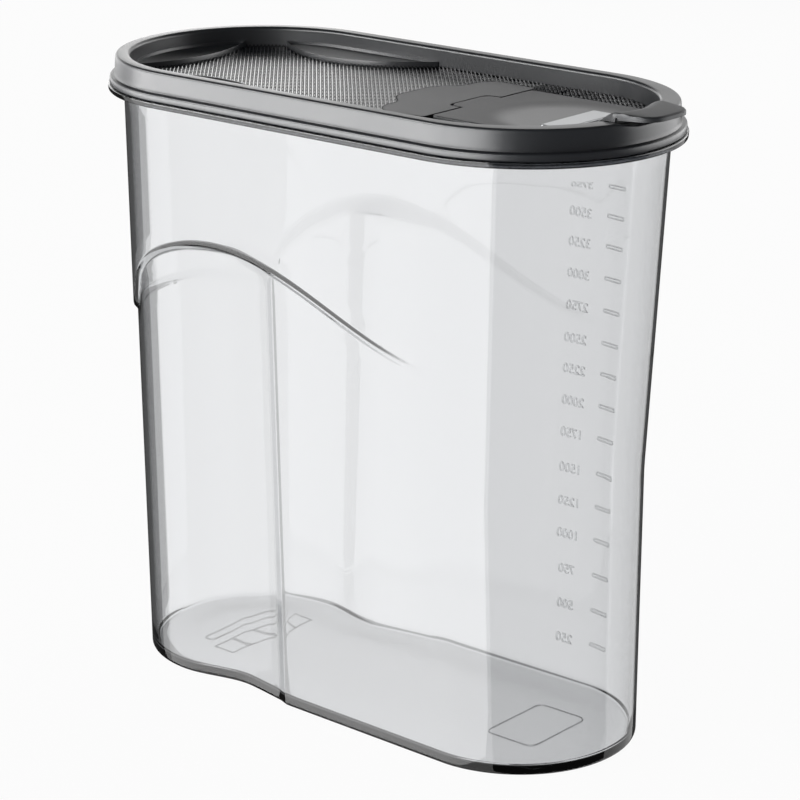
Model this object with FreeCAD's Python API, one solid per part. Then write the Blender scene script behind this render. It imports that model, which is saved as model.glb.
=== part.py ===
"""Oblong pouring canister for dry food: clear container, lift-off lid, hinged pour flap and its blank badge.

Millimetres, +Z up. The origin is the middle of the base: +X is the pouring end, -X the end that is gripped.
Outlines are stadiums, two straight sides joined by half circles, which widen towards the mouth.
"""
import FreeCAD, Part
import math
import os
from FreeCAD import Vector

# Container walls
flange_z = 229.8              # underside of the mouth flange
flange_thickness = 2.2
flange_round = 0.8
flange_overhang = 5.9         # beyond the wall at the mouth
collar_height = 8.6           # wall above the flange, inside the lid's channel
base_half_width = 45.2
mouth_half_width = 52.1
end_centre = 64.5             # centres of the half circles at the mouth, from the middle
grip_base_reach = 114.0       # gripped end at the base, from the middle
pour_base_reach = 109.5       # pouring end at the base
pour_bend_z = 105.0           # the pouring end is upright below this height and flares above it
wall = 1.8
floor_thickness = 3.0
foot_round = 2.8              # rounding between the walls and the base
fillet_share = 0.4            # largest rounding, as a share of the side it is cut from

# Grip recess, the same on both sides
crest_x = -47.0               # highest point of the step over the recess
crest_z = 180.3
step_end_z = 140.3            # height of the step round the gripped end
step_end_run = 48.5           # from the crest to where the step turns down
fade_x = 70.0                 # where the step has sunk to its lowest and run out
fade_z = 150.0
grip_step = 1.6               # depth of the step at the gripped end
pinch_x = -41.0               # narrowest place of the recess
pinch_depth = 6.6
crease_x = -14.5              # upright edge at the front of the recess
crease_inset = 1.6
crease_steepness = 1.6        # slope at the crease, against the recess's mean slope

# Raised scale on the back wall
scale_marks = 15
scale_step_ml = 250.0
tick_end_x = 74.3
tick_length = 8.8
tick_height = 1.6
tick_raise = 0.4

# Lid
rim_height = 11.0             # rim top above the flange it sits on
bead_height = 3.0
bead_setback = 0.5            # bead inside the edge of the flange
bead_round = 0.8
skirt_setback = 2.0           # foot of the outer wall inside the bead
rim_wall = 2.65               # outer wall of the channel at the rim top
rim_width = 5.8
rim_round = 0.9
rim_round_middle = 0.3        # middle of the rim's rounding, as a share of it
rim_pour_extra = 2.5          # the rim is wider at the pouring end
channel_clearance = 0.35      # collar to channel walls and roof
plug_wall = 1.4
plug_depth = 1.5              # plug below the flange top
recess_depth = 7.6
panel_thickness = 2.0
platform_rise = 2.6           # smooth platform above the ribbed panel
platform_lobe_x = 13.5
platform_shoulder_x = 22.0
platform_lobe_half_width = 10.0
platform_half_width = 31.5
platform_waist = 2.0          # the lobe's flanks, moved towards its tip
pad_rise = 1.8                # lens pads above the panel
side_pad_x = -52.5
side_pad_half_length = 36.5
side_pad_reach = 20.0         # from the pad's chord inwards
end_pad_half_length = 31.0
end_pad_reach = 8.7
notch_half_width = 16.5       # dip of the rim under the thumb tab
notch_depth = 3.2

# Pour flap and its hinge
hinge_x = 42.0
hinge_drop = 1.9              # pin axis below the platform top
pin_radius = 1.2
pin_clearance = 0.05          # radial running clearance in the sockets
pin_length = 2.6
barrel_radius = 1.8
knuckle_half_width = 11.5
knuckle_reach = 4.2           # behind the pin axis
knuckle_round = 2.5
knuckle_clearance = 0.4
slot_start = 1.8              # platform edge ahead of the pin axis
slot_width = 1.0
flap_gap = 0.3                # under the flap
flap_half_width = 28.8
flap_end_clearance = 0.6
flap_corner = 4.0
skirt_inset = 5.0
skirt_wall = 1.4
skirt_depth = 4.0
opening_clearance = 0.5
tab_half_width = 13.5
tab_rise = 8.0                # crest of the thumb tab above the flap
tab_overhang = 9.1            # beyond the rim
tab_lip = 10.3                # crest to tip
tab_ramp = 21.8               # flap to crest
tab_ramp_shape = [(0.0, 0.0), (0.35, 0.17), (0.62, 0.6), (0.82, 0.92), (1.0, 1.0)]  # run and rise shares
tab_droop = 0.8
tab_thickness = 2.0
tab_corner = 6.0

# Blank badge
badge_setback = 8.6           # middle of the badge behind the foot of the tab's ramp
badge_width = 10.0
badge_length = 31.0
badge_thickness = 0.5
badge_corner = 1.0
badge_seat = 0.4
badge_clearance = 0.15

# Heights and widths that follow from the sizes above
seat_z = flange_z + flange_thickness
collar_top_z = seat_z + collar_height
flange_half_width = mouth_half_width + flange_overhang
rim_half_width = mouth_half_width + channel_clearance + rim_wall
bead_half_width = flange_half_width - bead_setback
rim_top_z = seat_z + rim_height
panel_top_z = rim_top_z - recess_depth
panel_bottom_z = panel_top_z - panel_thickness
platform_top_z = panel_top_z + platform_rise
flap_bottom_z = panel_top_z + flap_gap
flap_top_z = platform_top_z
hinge_z = platform_top_z - hinge_drop
plug_half_width = mouth_half_width - wall - channel_clearance
recess_half_width = plug_half_width - plug_wall
recess_pour_centre = end_centre - rim_pour_extra
flap_start_x = hinge_x + slot_start + slot_width
flap_end_radius = recess_half_width - flap_end_clearance
tab_tip_x = end_centre + rim_half_width + tab_overhang
tab_crest_x = tab_tip_x - tab_lip
tab_start_x = tab_crest_x - tab_ramp
badge_x = tab_start_x - badge_setback
margin = 50.0                 # how far cutting blocks pass the object


def stadium(left, right, half_width, z):
    """Closed wire of two straight sides and two half circles, centred at -left and right on the X axis."""
    front_right = Vector(right, -half_width, z)
    back_right = Vector(right, half_width, z)
    back_left = Vector(-left, half_width, z)
    front_left = Vector(-left, -half_width, z)
    right_end = Part.Arc(front_right, Vector(right + half_width, 0, z), back_right).toShape()
    left_end = Part.Arc(back_left, Vector(-left - half_width, 0, z), front_left).toShape()
    back = Part.LineSegment(back_right, back_left).toShape()
    front = Part.LineSegment(front_left, front_right).toShape()
    return Part.Wire([right_end, back, left_end, front])


def ruled_solid(wires):
    """Solid with straight walls from each closed wire to the next."""
    return Part.makeLoft(wires, True, True)


def prism(wire, height):
    """Upright solid over a closed flat wire."""
    return Part.Face(wire).extrude(Vector(0, 0, height))


def block(x0, x1, y0, y1, z0, z1):
    """Box between two corners."""
    return Part.makeBox(x1 - x0, y1 - y0, z1 - z0, Vector(x0, y0, z0))


def mirror_y(shape):
    """The same shape on the other side of the XZ plane."""
    return shape.mirror(Vector(0, 0, 0), Vector(0, 1, 0))


def half_width(z):
    """Outer half width of the walls, widening evenly from base to mouth."""
    return base_half_width + (mouth_half_width - base_half_width) * z / flange_z


def grip_centre(z):
    """Centre of the gripped end's half circle at a height."""
    mouth_reach = end_centre + mouth_half_width
    reach = grip_base_reach + (mouth_reach - grip_base_reach) * z / flange_z
    return reach - half_width(z)


def pour_centre(z):
    """Centre of the pouring end's half circle: upright to the bend, then flared."""
    mouth_reach = end_centre + mouth_half_width
    share = max(0.0, (z - pour_bend_z) / (flange_z - pour_bend_z))
    return pour_base_reach + (mouth_reach - pour_base_reach) * share - half_width(z)


def wall_section(z, inset):
    """Outline of the walls at a height, moved inwards."""
    return stadium(grip_centre(z), pour_centre(z), half_width(z) - inset, z)


def foot_sections(start_z, inset):
    """Height and inset of the outlines that round the foot over a quarter circle."""
    pairs = []
    for degrees in (0, 30, 60, 90):
        turn = math.radians(degrees)
        pairs.append((start_z + foot_round * (1 - math.cos(turn)), inset + foot_round * (1 - math.sin(turn))))
    return pairs


def recess_section(z, inset):
    """Outline at a height of what the grip recesses leave: lobe, pinched side, crease and a fading side."""
    side = half_width(z) - inset
    left = grip_centre(z)
    lobe = Vector(-left, -(side - grip_step), z)
    pinch = Vector(pinch_x, -(side - pinch_depth), z)
    crease = Vector(crease_x, -(side - crease_inset), z)
    far_x = end_centre + flange_half_width
    spread = crease_inset * (far_x - crease_x) / (fade_x - crease_x)
    far = Vector(far_x, -(side - crease_inset + spread), z)
    curve = Part.BSplineCurve()
    crease_slope = Vector(crease_x - pinch_x, -(pinch_depth - crease_inset) * crease_steepness, 0)
    curve.interpolate(Points=[lobe, pinch, crease], InitialTangent=Vector(1, 0, 0),
                      FinalTangent=crease_slope.normalize())
    front = [curve.toShape(), Part.LineSegment(crease, far).toShape()]
    corners = [far, Vector(far.x, -far.y, z)]
    tip = Vector(-left - side + grip_step, 0, z)
    end = Part.Arc(Vector(lobe.x, -lobe.y, z), tip, lobe).toShape()
    back = [edge.mirror(Vector(0, 0, 0), Vector(0, 1, 0)) for edge in front]
    return Part.Wire(Part.__sortEdges__(front + [Part.LineSegment(*corners).toShape()] + back + [end]))


def step_prism(lift):
    """Everything under the step curve: a quarter ellipse up to the crest, then half a cosine wave down."""
    bottom_z = -margin
    left_x = -(end_centre + flange_half_width) - margin
    right_x = end_centre + flange_half_width + margin
    turn_x = crest_x - step_end_run
    points = []
    for index in range(1, 7):
        angle = math.pi - index * math.pi / 12
        x = crest_x + step_end_run * math.cos(angle)
        points.append(Vector(x, 0, step_end_z + (crest_z - step_end_z) * math.sin(angle) + lift))
    for index in range(1, 9):
        share = index / 8
        height = (crest_z + fade_z) / 2 + (crest_z - fade_z) / 2 * math.cos(math.pi * share)
        points.append(Vector(crest_x + (fade_x - crest_x) * share, 0, height + lift))
    curve = Part.BSplineCurve()
    curve.interpolate(Points=[Vector(turn_x, 0, step_end_z + lift)] + points)
    end = points[-1]
    outline = [curve.toShape()]
    corners = [end, Vector(right_x, 0, end.z), Vector(right_x, 0, bottom_z), Vector(left_x, 0, bottom_z),
               Vector(left_x, 0, step_end_z + lift), Vector(turn_x, 0, step_end_z + lift)]
    for start, stop in zip(corners[:-1], corners[1:]):
        outline.append(Part.LineSegment(start, stop).toShape())
    depth = flange_half_width + margin
    face = Part.Face(Part.Wire(outline))
    face.translate(Vector(0, -depth, 0))
    return face.extrude(Vector(0, 2 * depth, 0))


def walls(start_z, inset, lift):
    """Solid inside the walls moved inwards by inset, with the grip recesses pressed in below the step."""
    feet = foot_sections(start_z, inset)
    sections = [wall_section(z, edge) for z, edge in feet]
    sections.append(wall_section(pour_bend_z, inset))
    sections.append(wall_section(flange_z, inset))
    sections.append(stadium(end_centre, end_centre, mouth_half_width - inset, collar_top_z))
    core = [recess_section(z, edge) for z, edge in feet]
    core.append(recess_section(crest_z + margin, inset))
    pressed = step_prism(lift).cut(ruled_solid(core))
    return ruled_solid(sections).cut(pressed)


def scale_heights():
    """Heights of the scale marks: the level at which the inside holds each further step."""
    heights = []
    level = floor_thickness
    held = 0.0
    slice_height = 0.5
    while len(heights) < scale_marks:
        side = half_width(level) - wall
        area = 2 * side * (grip_centre(level) + pour_centre(level)) + math.pi * side * side
        held += area * slice_height / 1000.0
        level += slice_height
        if held >= scale_step_ml * (len(heights) + 1):
            heights.append(level)
    return heights


def make_container():
    """Clear body: walls and floor, mouth flange and the raised ticks of the scale."""
    inside = walls(floor_thickness, wall, wall)
    flange = prism(stadium(end_centre, end_centre, flange_half_width, flange_z), flange_thickness)
    rounding = min(flange_round, fillet_share * flange_thickness)
    rims = [edge for edge in flange.Edges if abs(edge.BoundBox.ZLength) < 1e-6]
    flange = flange.makeFillet(rounding, rims)
    body = walls(0.0, 0.0, 0.0).fuse(flange)
    raised = ruled_solid([wall_section(z, -tick_raise) for z in (0.0, pour_bend_z, flange_z)])
    for z in scale_heights():
        tick = block(tick_end_x - tick_length, tick_end_x, 0.0, flange_half_width,
                     z - tick_height / 2, z + tick_height / 2)
        body = body.fuse(tick.common(raised))
    return body.cut(inside).removeSplitter()


def recess_space(bottom_z, bottom_half_width):
    """Space inside the rim, from a height to above the lid, drafted towards the rim's inner edge."""
    top_half_width = rim_half_width - rim_width
    outlines = [
        (bottom_half_width, bottom_z),
        (top_half_width, rim_top_z),
        (top_half_width + rim_round, rim_top_z + rim_round),
    ]
    return ruled_solid([stadium(end_centre, recess_pour_centre, side, z) for side, z in outlines])


def platform_wire(z):
    """Wavy outline of the platform behind the hinge: a middle lobe between two shoulders."""
    edge_x = hinge_x + slot_start
    corner_x = platform_shoulder_x + (platform_half_width - flap_half_width)
    shoulder_y = (platform_lobe_half_width + platform_half_width) / 2
    flank_x = (platform_lobe_x + platform_shoulder_x) / 2 - platform_waist
    half = [Vector(corner_x, platform_half_width, z), Vector(platform_shoulder_x, flap_half_width, z),
            Vector(platform_shoulder_x, shoulder_y, z), Vector(flank_x, platform_lobe_half_width, z)]
    points = half + [Vector(platform_lobe_x, 0, z)] + [Vector(p.x, -p.y, z) for p in reversed(half)]
    curve = Part.BSplineCurve()
    curve.interpolate(Points=points)
    near = Vector(edge_x, platform_half_width, z)
    far = Vector(edge_x, -platform_half_width, z)
    edges = [curve.toShape(), Part.LineSegment(points[-1], far).toShape(),
             Part.LineSegment(far, near).toShape(), Part.LineSegment(near, points[0]).toShape()]
    return Part.Wire(edges)


def lens_pad(half_length, reach, behind, z0, z1):
    """Upright lens with its chord on the X axis: its arc swells towards -Y, and it goes on behind the chord."""
    start = Vector(-half_length, 0, z0)
    stop = Vector(half_length, 0, z0)
    arc = Part.Arc(start, Vector(0, -reach, z0), stop).toShape()
    corners = [stop, Vector(half_length, behind, z0), Vector(-half_length, behind, z0), start]
    edges = [arc]
    for first, second in zip(corners[:-1], corners[1:]):
        edges.append(Part.LineSegment(first, second).toShape())
    return prism(Part.Wire(edges), z1 - z0)


def make_pads():
    """Three raised lens pads against the recess wall: two sides and the gripped end."""
    top_z = panel_top_z + pad_rise
    back = lens_pad(side_pad_half_length, side_pad_reach, plug_wall, panel_bottom_z, top_z)
    back.translate(Vector(side_pad_x, recess_half_width, 0))
    sagitta = recess_half_width - math.sqrt(recess_half_width ** 2 - end_pad_half_length ** 2)
    end = lens_pad(end_pad_half_length, end_pad_reach, sagitta + plug_wall, panel_bottom_z, top_z)
    end.rotate(Vector(0, 0, 0), Vector(0, 0, 1), 90)
    end.translate(Vector(-end_centre - recess_half_width + sagitta, 0, 0))
    return [back, mirror_y(back), end]


def flap_outline(grow, z):
    """Flap in plan, moved outwards by grow: square at the hinge, with the recess's curve at the pouring end."""
    start_x = flap_start_x - grow
    side_y = flap_half_width + grow
    radius = flap_end_radius + grow
    arc_x = recess_pour_centre + math.sqrt(radius * radius - side_y * side_y)
    front = Vector(start_x, -side_y, z)
    back = Vector(start_x, side_y, z)
    arc_front = Vector(arc_x, -side_y, z)
    arc_back = Vector(arc_x, side_y, z)
    arc = Part.Arc(arc_front, Vector(recess_pour_centre + radius, 0, z), arc_back).toShape()
    edges = [Part.LineSegment(front, arc_front).toShape(), arc,
             Part.LineSegment(arc_back, back).toShape(), Part.LineSegment(back, front).toShape()]
    return Part.Wire(edges)


def make_lid():
    """Lid: bead, drafted rim, channel over the collar, plug, sunken panel, platform, pads and hinge sockets."""
    bead = prism(stadium(end_centre, end_centre, bead_half_width, seat_z), bead_height)
    top_edges = [edge for edge in bead.Edges if edge.BoundBox.ZMin > seat_z + bead_height / 2]
    bead = bead.makeFillet(min(bead_round, fillet_share * bead_height), top_edges)
    foot_half_width = bead_half_width - skirt_setback
    shoulder_half_width = rim_half_width + (foot_half_width - rim_half_width) * rim_round / rim_height
    middle = rim_round_middle * rim_round
    outlines = [
        (foot_half_width, seat_z),
        (shoulder_half_width, rim_top_z - rim_round),
        (rim_half_width - middle, rim_top_z - middle),
        (rim_half_width - rim_round, rim_top_z),
    ]
    lid = bead.fuse(ruled_solid([stadium(end_centre, end_centre, side, z) for side, z in outlines]))
    plug_bottom_z = seat_z - plug_depth
    plug_outline = stadium(end_centre, end_centre, plug_half_width, plug_bottom_z)
    plug = prism(plug_outline, rim_top_z - rim_round - plug_bottom_z)
    channel_half_width = mouth_half_width + channel_clearance
    channel_height = collar_top_z + channel_clearance - seat_z
    channel = prism(stadium(end_centre, end_centre, channel_half_width, seat_z), channel_height)
    lid = lid.cut(channel).fuse(plug)
    lid = lid.cut(recess_space(panel_top_z, recess_half_width))
    under = stadium(end_centre, end_centre, recess_half_width, plug_bottom_z)
    lid = lid.cut(prism(under, panel_bottom_z - plug_bottom_z))
    platform = prism(platform_wire(panel_bottom_z), platform_top_z - panel_bottom_z)
    lid = lid.fuse([platform] + [pad.common(plug) for pad in make_pads()])
    return lid.cut(lid_openings()).removeSplitter()


def lid_openings():
    """Pour opening, knuckle notch, pin sockets and the dip in the rim, as solids to take out of the lid."""
    low_z = panel_bottom_z - margin
    opening = prism(flap_outline(opening_clearance - skirt_inset, low_z), rim_top_z - low_z)
    notch_back_x = hinge_x - math.hypot(knuckle_reach, hinge_drop) - knuckle_clearance
    notch_side_y = knuckle_half_width + knuckle_clearance
    knuckle_notch = block(notch_back_x, flap_start_x, -notch_side_y, notch_side_y,
                          low_z, platform_top_z + margin)
    socket_half_length = knuckle_half_width + pin_length + knuckle_clearance
    sockets = Part.makeCylinder(pin_radius + pin_clearance, 2 * socket_half_length,
                                Vector(hinge_x, -socket_half_length, hinge_z), Vector(0, 1, 0))
    dip = block(recess_pour_centre, tab_tip_x + margin, -notch_half_width, notch_half_width,
                rim_top_z - notch_depth, rim_top_z + margin)
    return [opening, knuckle_notch, sockets, dip]


def tab_profile():
    """Side view of the thumb tab: a ramp off the flap up to the crest, then a lip that droops to the tip."""
    crest_height = flap_top_z + tab_rise
    top = []
    for run, rise in tab_ramp_shape:
        top.append(Vector(tab_start_x + run * tab_ramp, 0, flap_top_z + rise * tab_rise))
    top.append(Vector(tab_tip_x, 0, crest_height - tab_droop))
    level = Vector(1, 0, 0)
    drooping = Vector(tab_lip, 0, -2 * tab_droop)
    upper = Part.BSplineCurve()
    upper.interpolate(Points=top, InitialTangent=level, FinalTangent=drooping)
    lower = Part.BSplineCurve()
    bottom = [point - Vector(0, 0, tab_thickness) for point in top]
    lower.interpolate(Points=bottom, InitialTangent=level, FinalTangent=drooping)
    edges = [upper.toShape(), Part.LineSegment(top[-1], bottom[-1]).toShape(),
             lower.toShape(), Part.LineSegment(bottom[0], top[0]).toShape()]
    return Part.Wire(Part.__sortEdges__(edges))


def make_tab():
    """Thumb tab: its side view carried across, with the tip's corners rounded."""
    face = Part.Face(tab_profile())
    face.translate(Vector(0, -tab_half_width, 0))
    tab = face.extrude(Vector(0, 2 * tab_half_width, 0))
    plan = block(tab_start_x - margin, tab_tip_x, -tab_half_width, tab_half_width,
                 flap_bottom_z - margin, flap_top_z + tab_rise + margin)
    uprights = []
    for edge in plan.Edges:
        box = edge.BoundBox
        if box.ZLength > margin and box.XMin > tab_crest_x:
            uprights.append(edge)
    return tab.common(plan.makeFillet(min(tab_corner, 2 * fillet_share * tab_half_width), uprights))


def make_knuckle():
    """Hinge knuckle: barrel with stub pins and the tongue that ties it to the flap."""
    axis = Vector(0, 1, 0)
    barrel_end = Vector(hinge_x, -knuckle_half_width, hinge_z)
    barrel = Part.makeCylinder(barrel_radius, 2 * knuckle_half_width, barrel_end, axis)
    pin_half_length = knuckle_half_width + pin_length
    pin_end = Vector(hinge_x, -pin_half_length, hinge_z)
    pins = Part.makeCylinder(pin_radius, 2 * pin_half_length, pin_end, axis)
    tongue = block(hinge_x - knuckle_reach, flap_start_x + flap_corner, -knuckle_half_width, knuckle_half_width,
                   hinge_z, flap_top_z)
    back_edges = []
    for edge in tongue.Edges:
        box = edge.BoundBox
        if box.XMax < hinge_x and box.XLength < 1e-6 and box.YLength < 1e-6:
            back_edges.append(edge)
    tongue = tongue.makeFillet(min(knuckle_round, 2 * fillet_share * knuckle_reach), back_edges)
    return [barrel, pins, tongue]


def badge_block(grow, z0, z1):
    """Upright block over the badge's place, moved outwards by grow."""
    half_x = badge_width / 2 + grow
    half_y = badge_length / 2 + grow
    return block(badge_x - half_x, badge_x + half_x, -half_y, half_y, z0, z1)


def make_flap():
    """Pour flap: plate, plug skirt, thumb tab, hinge knuckle and the seat of the badge."""
    plate = prism(flap_outline(0.0, flap_bottom_z), flap_top_z - flap_bottom_z)
    corners = []
    for edge in plate.Edges:
        box = edge.BoundBox
        if box.ZLength > 1e-3 and box.XMax < flap_start_x + 1e-3:
            corners.append(edge)
    plate = plate.makeFillet(min(flap_corner, fillet_share * (flap_half_width - knuckle_half_width)), corners)
    skirt_bottom_z = flap_bottom_z - skirt_depth
    skirt = prism(flap_outline(-skirt_inset, skirt_bottom_z), skirt_depth)
    hollow = prism(flap_outline(-skirt_inset - skirt_wall, skirt_bottom_z), skirt_depth)
    flap = plate.fuse([skirt.cut(hollow), make_tab()] + make_knuckle())
    seat = badge_block(badge_clearance, flap_top_z - badge_seat, flap_top_z + margin)
    return flap.cut(seat).removeSplitter()


def make_badge():
    """Blank plate in its seat on the flap, with rounded corners."""
    bottom_z = flap_top_z - badge_seat
    plate = badge_block(0.0, bottom_z, bottom_z + badge_thickness)
    uprights = [edge for edge in plate.Edges if edge.BoundBox.ZLength > 1e-6]
    return plate.makeFillet(min(badge_corner, fillet_share * badge_width), uprights)


def main():
    """Build every piece and write one file for each."""
    os.makedirs("parts", exist_ok=True)
    pieces = {
        "container": make_container(),
        "lid": make_lid(),
        "pour_flap": make_flap(),
        "flap_badge": make_badge(),
    }
    for name, shape in pieces.items():
        shape.exportStep("parts/" + name + ".step")
        print(name, "solids", len(shape.Solids), "valid", shape.isValid(), "volume", round(shape.Volume, 1))
    held = walls(floor_thickness, wall, wall).Volume / 1e6
    print("brimful capacity in litres", round(held, 3))


main()
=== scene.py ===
"""Visible pieces of a clear pouring canister and its stage, laid out as a Blender add-on.

Metres, in the frame of the CAD model: +X is the pouring end, +Y the side with the scale, +Z up.
"""
import math

import bmesh
import bpy
import numpy as np
from bpy.props import FloatProperty, FloatVectorProperty, IntProperty, PointerProperty
from bpy.types import Operator, Panel, PropertyGroup
from mathutils import Matrix, Vector


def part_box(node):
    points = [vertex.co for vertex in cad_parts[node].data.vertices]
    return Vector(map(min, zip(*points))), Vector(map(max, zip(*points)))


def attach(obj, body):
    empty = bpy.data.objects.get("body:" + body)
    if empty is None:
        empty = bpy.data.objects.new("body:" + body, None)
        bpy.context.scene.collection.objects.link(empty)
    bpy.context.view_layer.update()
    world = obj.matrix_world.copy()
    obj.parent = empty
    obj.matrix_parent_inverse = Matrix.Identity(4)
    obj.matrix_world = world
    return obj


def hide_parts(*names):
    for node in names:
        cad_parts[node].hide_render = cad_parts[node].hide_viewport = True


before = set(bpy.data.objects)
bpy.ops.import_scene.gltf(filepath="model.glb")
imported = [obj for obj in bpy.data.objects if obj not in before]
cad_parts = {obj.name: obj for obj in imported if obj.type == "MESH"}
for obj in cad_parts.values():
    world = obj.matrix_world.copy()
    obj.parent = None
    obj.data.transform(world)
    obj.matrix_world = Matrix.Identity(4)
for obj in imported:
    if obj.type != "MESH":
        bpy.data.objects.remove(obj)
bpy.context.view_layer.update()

bl_info = {
    "name": "Pouring canister",
    "version": (1, 0, 0),
    "blender": (4, 5, 0),
    "location": "View3D > Sidebar > Canister",
    "description": "Builds the visible pieces of a clear canister with a pouring lid, and its stage",
    "category": "Add Mesh",
}

CONTAINER_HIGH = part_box("container")[1]
LID_LOW, LID_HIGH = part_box("lid")
FLAP_LOW, FLAP_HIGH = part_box("pour_flap")
QUARTER_TURN = math.pi / 2
WHITE = (1.0, 1.0, 1.0, 1.0)

# Container: a side's columns lie closer at the crease, whose share of them is fixed
CREASE_SHARE = 0.4
SIDE_SHARES = np.unique(np.concatenate([
    np.linspace(0.0, CREASE_SHARE, 34),
    np.linspace(CREASE_SHARE - 0.03, CREASE_SHARE + 0.015, 31),
    np.linspace(CREASE_SHARE, 1.0, 34),
]).round(6))[:-1]
STEP_HEIGHT = 0.0024  # height of the step where the recess has no depth
STEP_SLOPE = 0.26  # height that the step gains with the recess's depth
BACK_STEP_STRETCH = 2.6  # how much taller the back's step is before the crest
BACK_STEP_LOSS = 2.05  # what that loses towards the crest
BACK_STEP_LEAD = 0.035  # where it starts to lose, before the crest
BACK_STEP_RUN = 0.04  # length over which it loses
HOLLOW_RUN = 0.5  # share of the base over which its hollow sinks in
FLANGE_FILLET = 0.0008  # between the wall and the flange's underside
FLANGE_DRAFT = 0.0001  # lower edge of the flange inside its upper one
COLLAR_FILLET = 0.0005  # between the flange's top and the collar
LIP_FLAT = 0.0003  # half of the flat on top of the collar, between its roundings
INNER_TOP = 0.2401  # where the inner wall's rounding at the collar starts
FLANGE_PAINTED_SHADE_BAND = (0.2296, 0.2321)  # heights between which the clear plastic gets painted shade, a near-black base colour in the flange
FLANGE_PAINTED_SHADE_FADE = 0.0002  # half of the run over which that painted shade fades

# Raised marks: heights of the scale's ticks, and the frames on the floor as place, lengths and corner
SCALE_HEIGHTS = np.array([
    19.9, 34.0, 48.4, 62.7, 76.1, 89.4, 103.5, 116.3, 128.9, 141.1, 153.7, 166.2, 178.5, 190.1, 201.6,
]) / 1000.0
BASE_FRAMES = np.array([
    [73.8, 0.0, 22.4, 34.0, 4.0],
    [-79.0, 0.0, 5.2, 39.0, 2.3],
    *([-66.0, 11.75 * place, 10.8, 11.3, 0.4] for place in (-1.5, -0.5, 0.5, 1.5)),
]) / 1000.0
MARK_SINK = 0.0001  # depth of a raised line's foot below its surface
FONT_SIZE = 1.4  # size of the lettering over the height of its numerals
NUMERAL_LIFT = 0.3  # middle of a numeral's thickness above the wall, as a share of its raise
TICK_CORNER = 0.45  # rounding of a tick's ends over its height

# Lid: a rib's corners as shares of the pitch, and their heights as shares of its rise
RIB_PHASES = np.array([0.0, 0.21, 0.58, 0.66, 1.0])
RIB_SHAPE = np.array([1.0, 1.0, 0.0, 0.0, 1.0])
RIB_RANGE = (-75, 60)  # ribs that may cross the panel, counted from the middle
RIB_REACH = 0.15  # half of the length along which a rib's ends are searched for
BEAD_ROUND = 0.0008
BEAD_DRAFT = 0.0001  # top of the bead inside its foot
GROOVE = 0.0004  # radius of the groove over the bead
PANEL_SEAT = 0.0476  # half width of the rim's ledge that holds the panel
PANEL_HINGE = 0.037  # where the panel before the hinge ends
PANEL_MARGIN = 0.0001  # gap between the panel and the recess wall
PANEL_END_GAP = 0.00015  # the same gap at the pouring end's tip
HINGE_SLOT = 0.0119  # half width of the slot that the flap's tongue lies in
HINGE_BAR_START = 0.0448
HINGE_BAR_HALF = 0.0125
EDGE_ROUND = 0.0005  # upper edge of the platform and of the flap
EDGE_FLAT = 0.0004  # flat row inside a plate's rounded edge

# Flap: its round end, its dish, its skirt, its thumb tab and its badge
POUR_CENTRE = 0.062  # centre of the flap's and the skirt's round ends
TONGUE_ROUND = 0.0042
END_RUN = 0.006  # stretch of the round end with closer rows
TIP_GAP = 0.00002  # last row before the round end's tip
HAIR = 1e-6  # between the tongue's last row and the plate's first
DISH_CENTRE = 0.0815
DISH_LENGTH = 0.0275
DISH_WIDTH = 0.0262
DISH_SIDE = 0.38  # share of the oval over which the dish sinks
SKIRT_RADIUS = 0.04295
SKIRT_TURN = 33.6  # half of the skirt's arc, in degrees
SKIRT_START = 0.0498
SKIRT_BEND = 0.0740  # where its sides meet its arc
SKIRT_HALF = 0.0238
SKIRT_WALL = 0.0014
SKIRT_BEVEL = 0.0003
SKIRT_SINK = 0.0002  # its top above the flap's underside
TAB_BOW = 0.0042  # ends of the crest behind its middle
TAB_SHOULDER = 0.0006  # where the lip's rounded edge starts, beyond the crest's ends
TAB_LEAST_LIP = 0.0003
TAB_SINK = 0.0003  # foot of the ramp below the flap's top
TAB_SOLID_SINK = 0.0008  # underside of the solid part below the flap's top
TAB_SOLID_END = 0.1086  # where the tab starts to pass over the rim
TAB_RIM_END = 0.1138  # where it has passed over the rim's top
TAB_RIM_GAP = 0.0002
TAB_LIP = 0.0013  # thickness of the lip
TAB_LEAST = 0.0002  # least thickness of the tab
TAB_LIP_FALL = 0.0006
TAB_NOSE = 0.94  # share of the lip where its nose turns down
TAB_NOSE_FALL = 0.0004
TAB_SIDE = 0.965  # share of the half width where the side's rounding starts
TAB_SIDE_FALL = 0.00045
TAB_SIDE_RISE = 0.001  # height of the tab at which that rounding is full
BADGE_CORNER = 0.0012
BADGE_SINK = 0.0004  # underside of the badge below the dish
BADGE_THICKNESS = 0.0010
BADGE_BEVEL = 0.00045


def length(name, description, default):
    """A length property in metres."""
    return FloatProperty(name=name, description=description, default=default, unit="LENGTH", precision=5)


def number(name, description, default):
    """A plain number property."""
    return FloatProperty(name=name, description=description, default=default, precision=4)


def colour(name, description, default):
    """A linear colour property."""
    return FloatVectorProperty(
        name=name, description=description, default=default, size=3, min=0.0, max=1.0, subtype="COLOR"
    )


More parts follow.
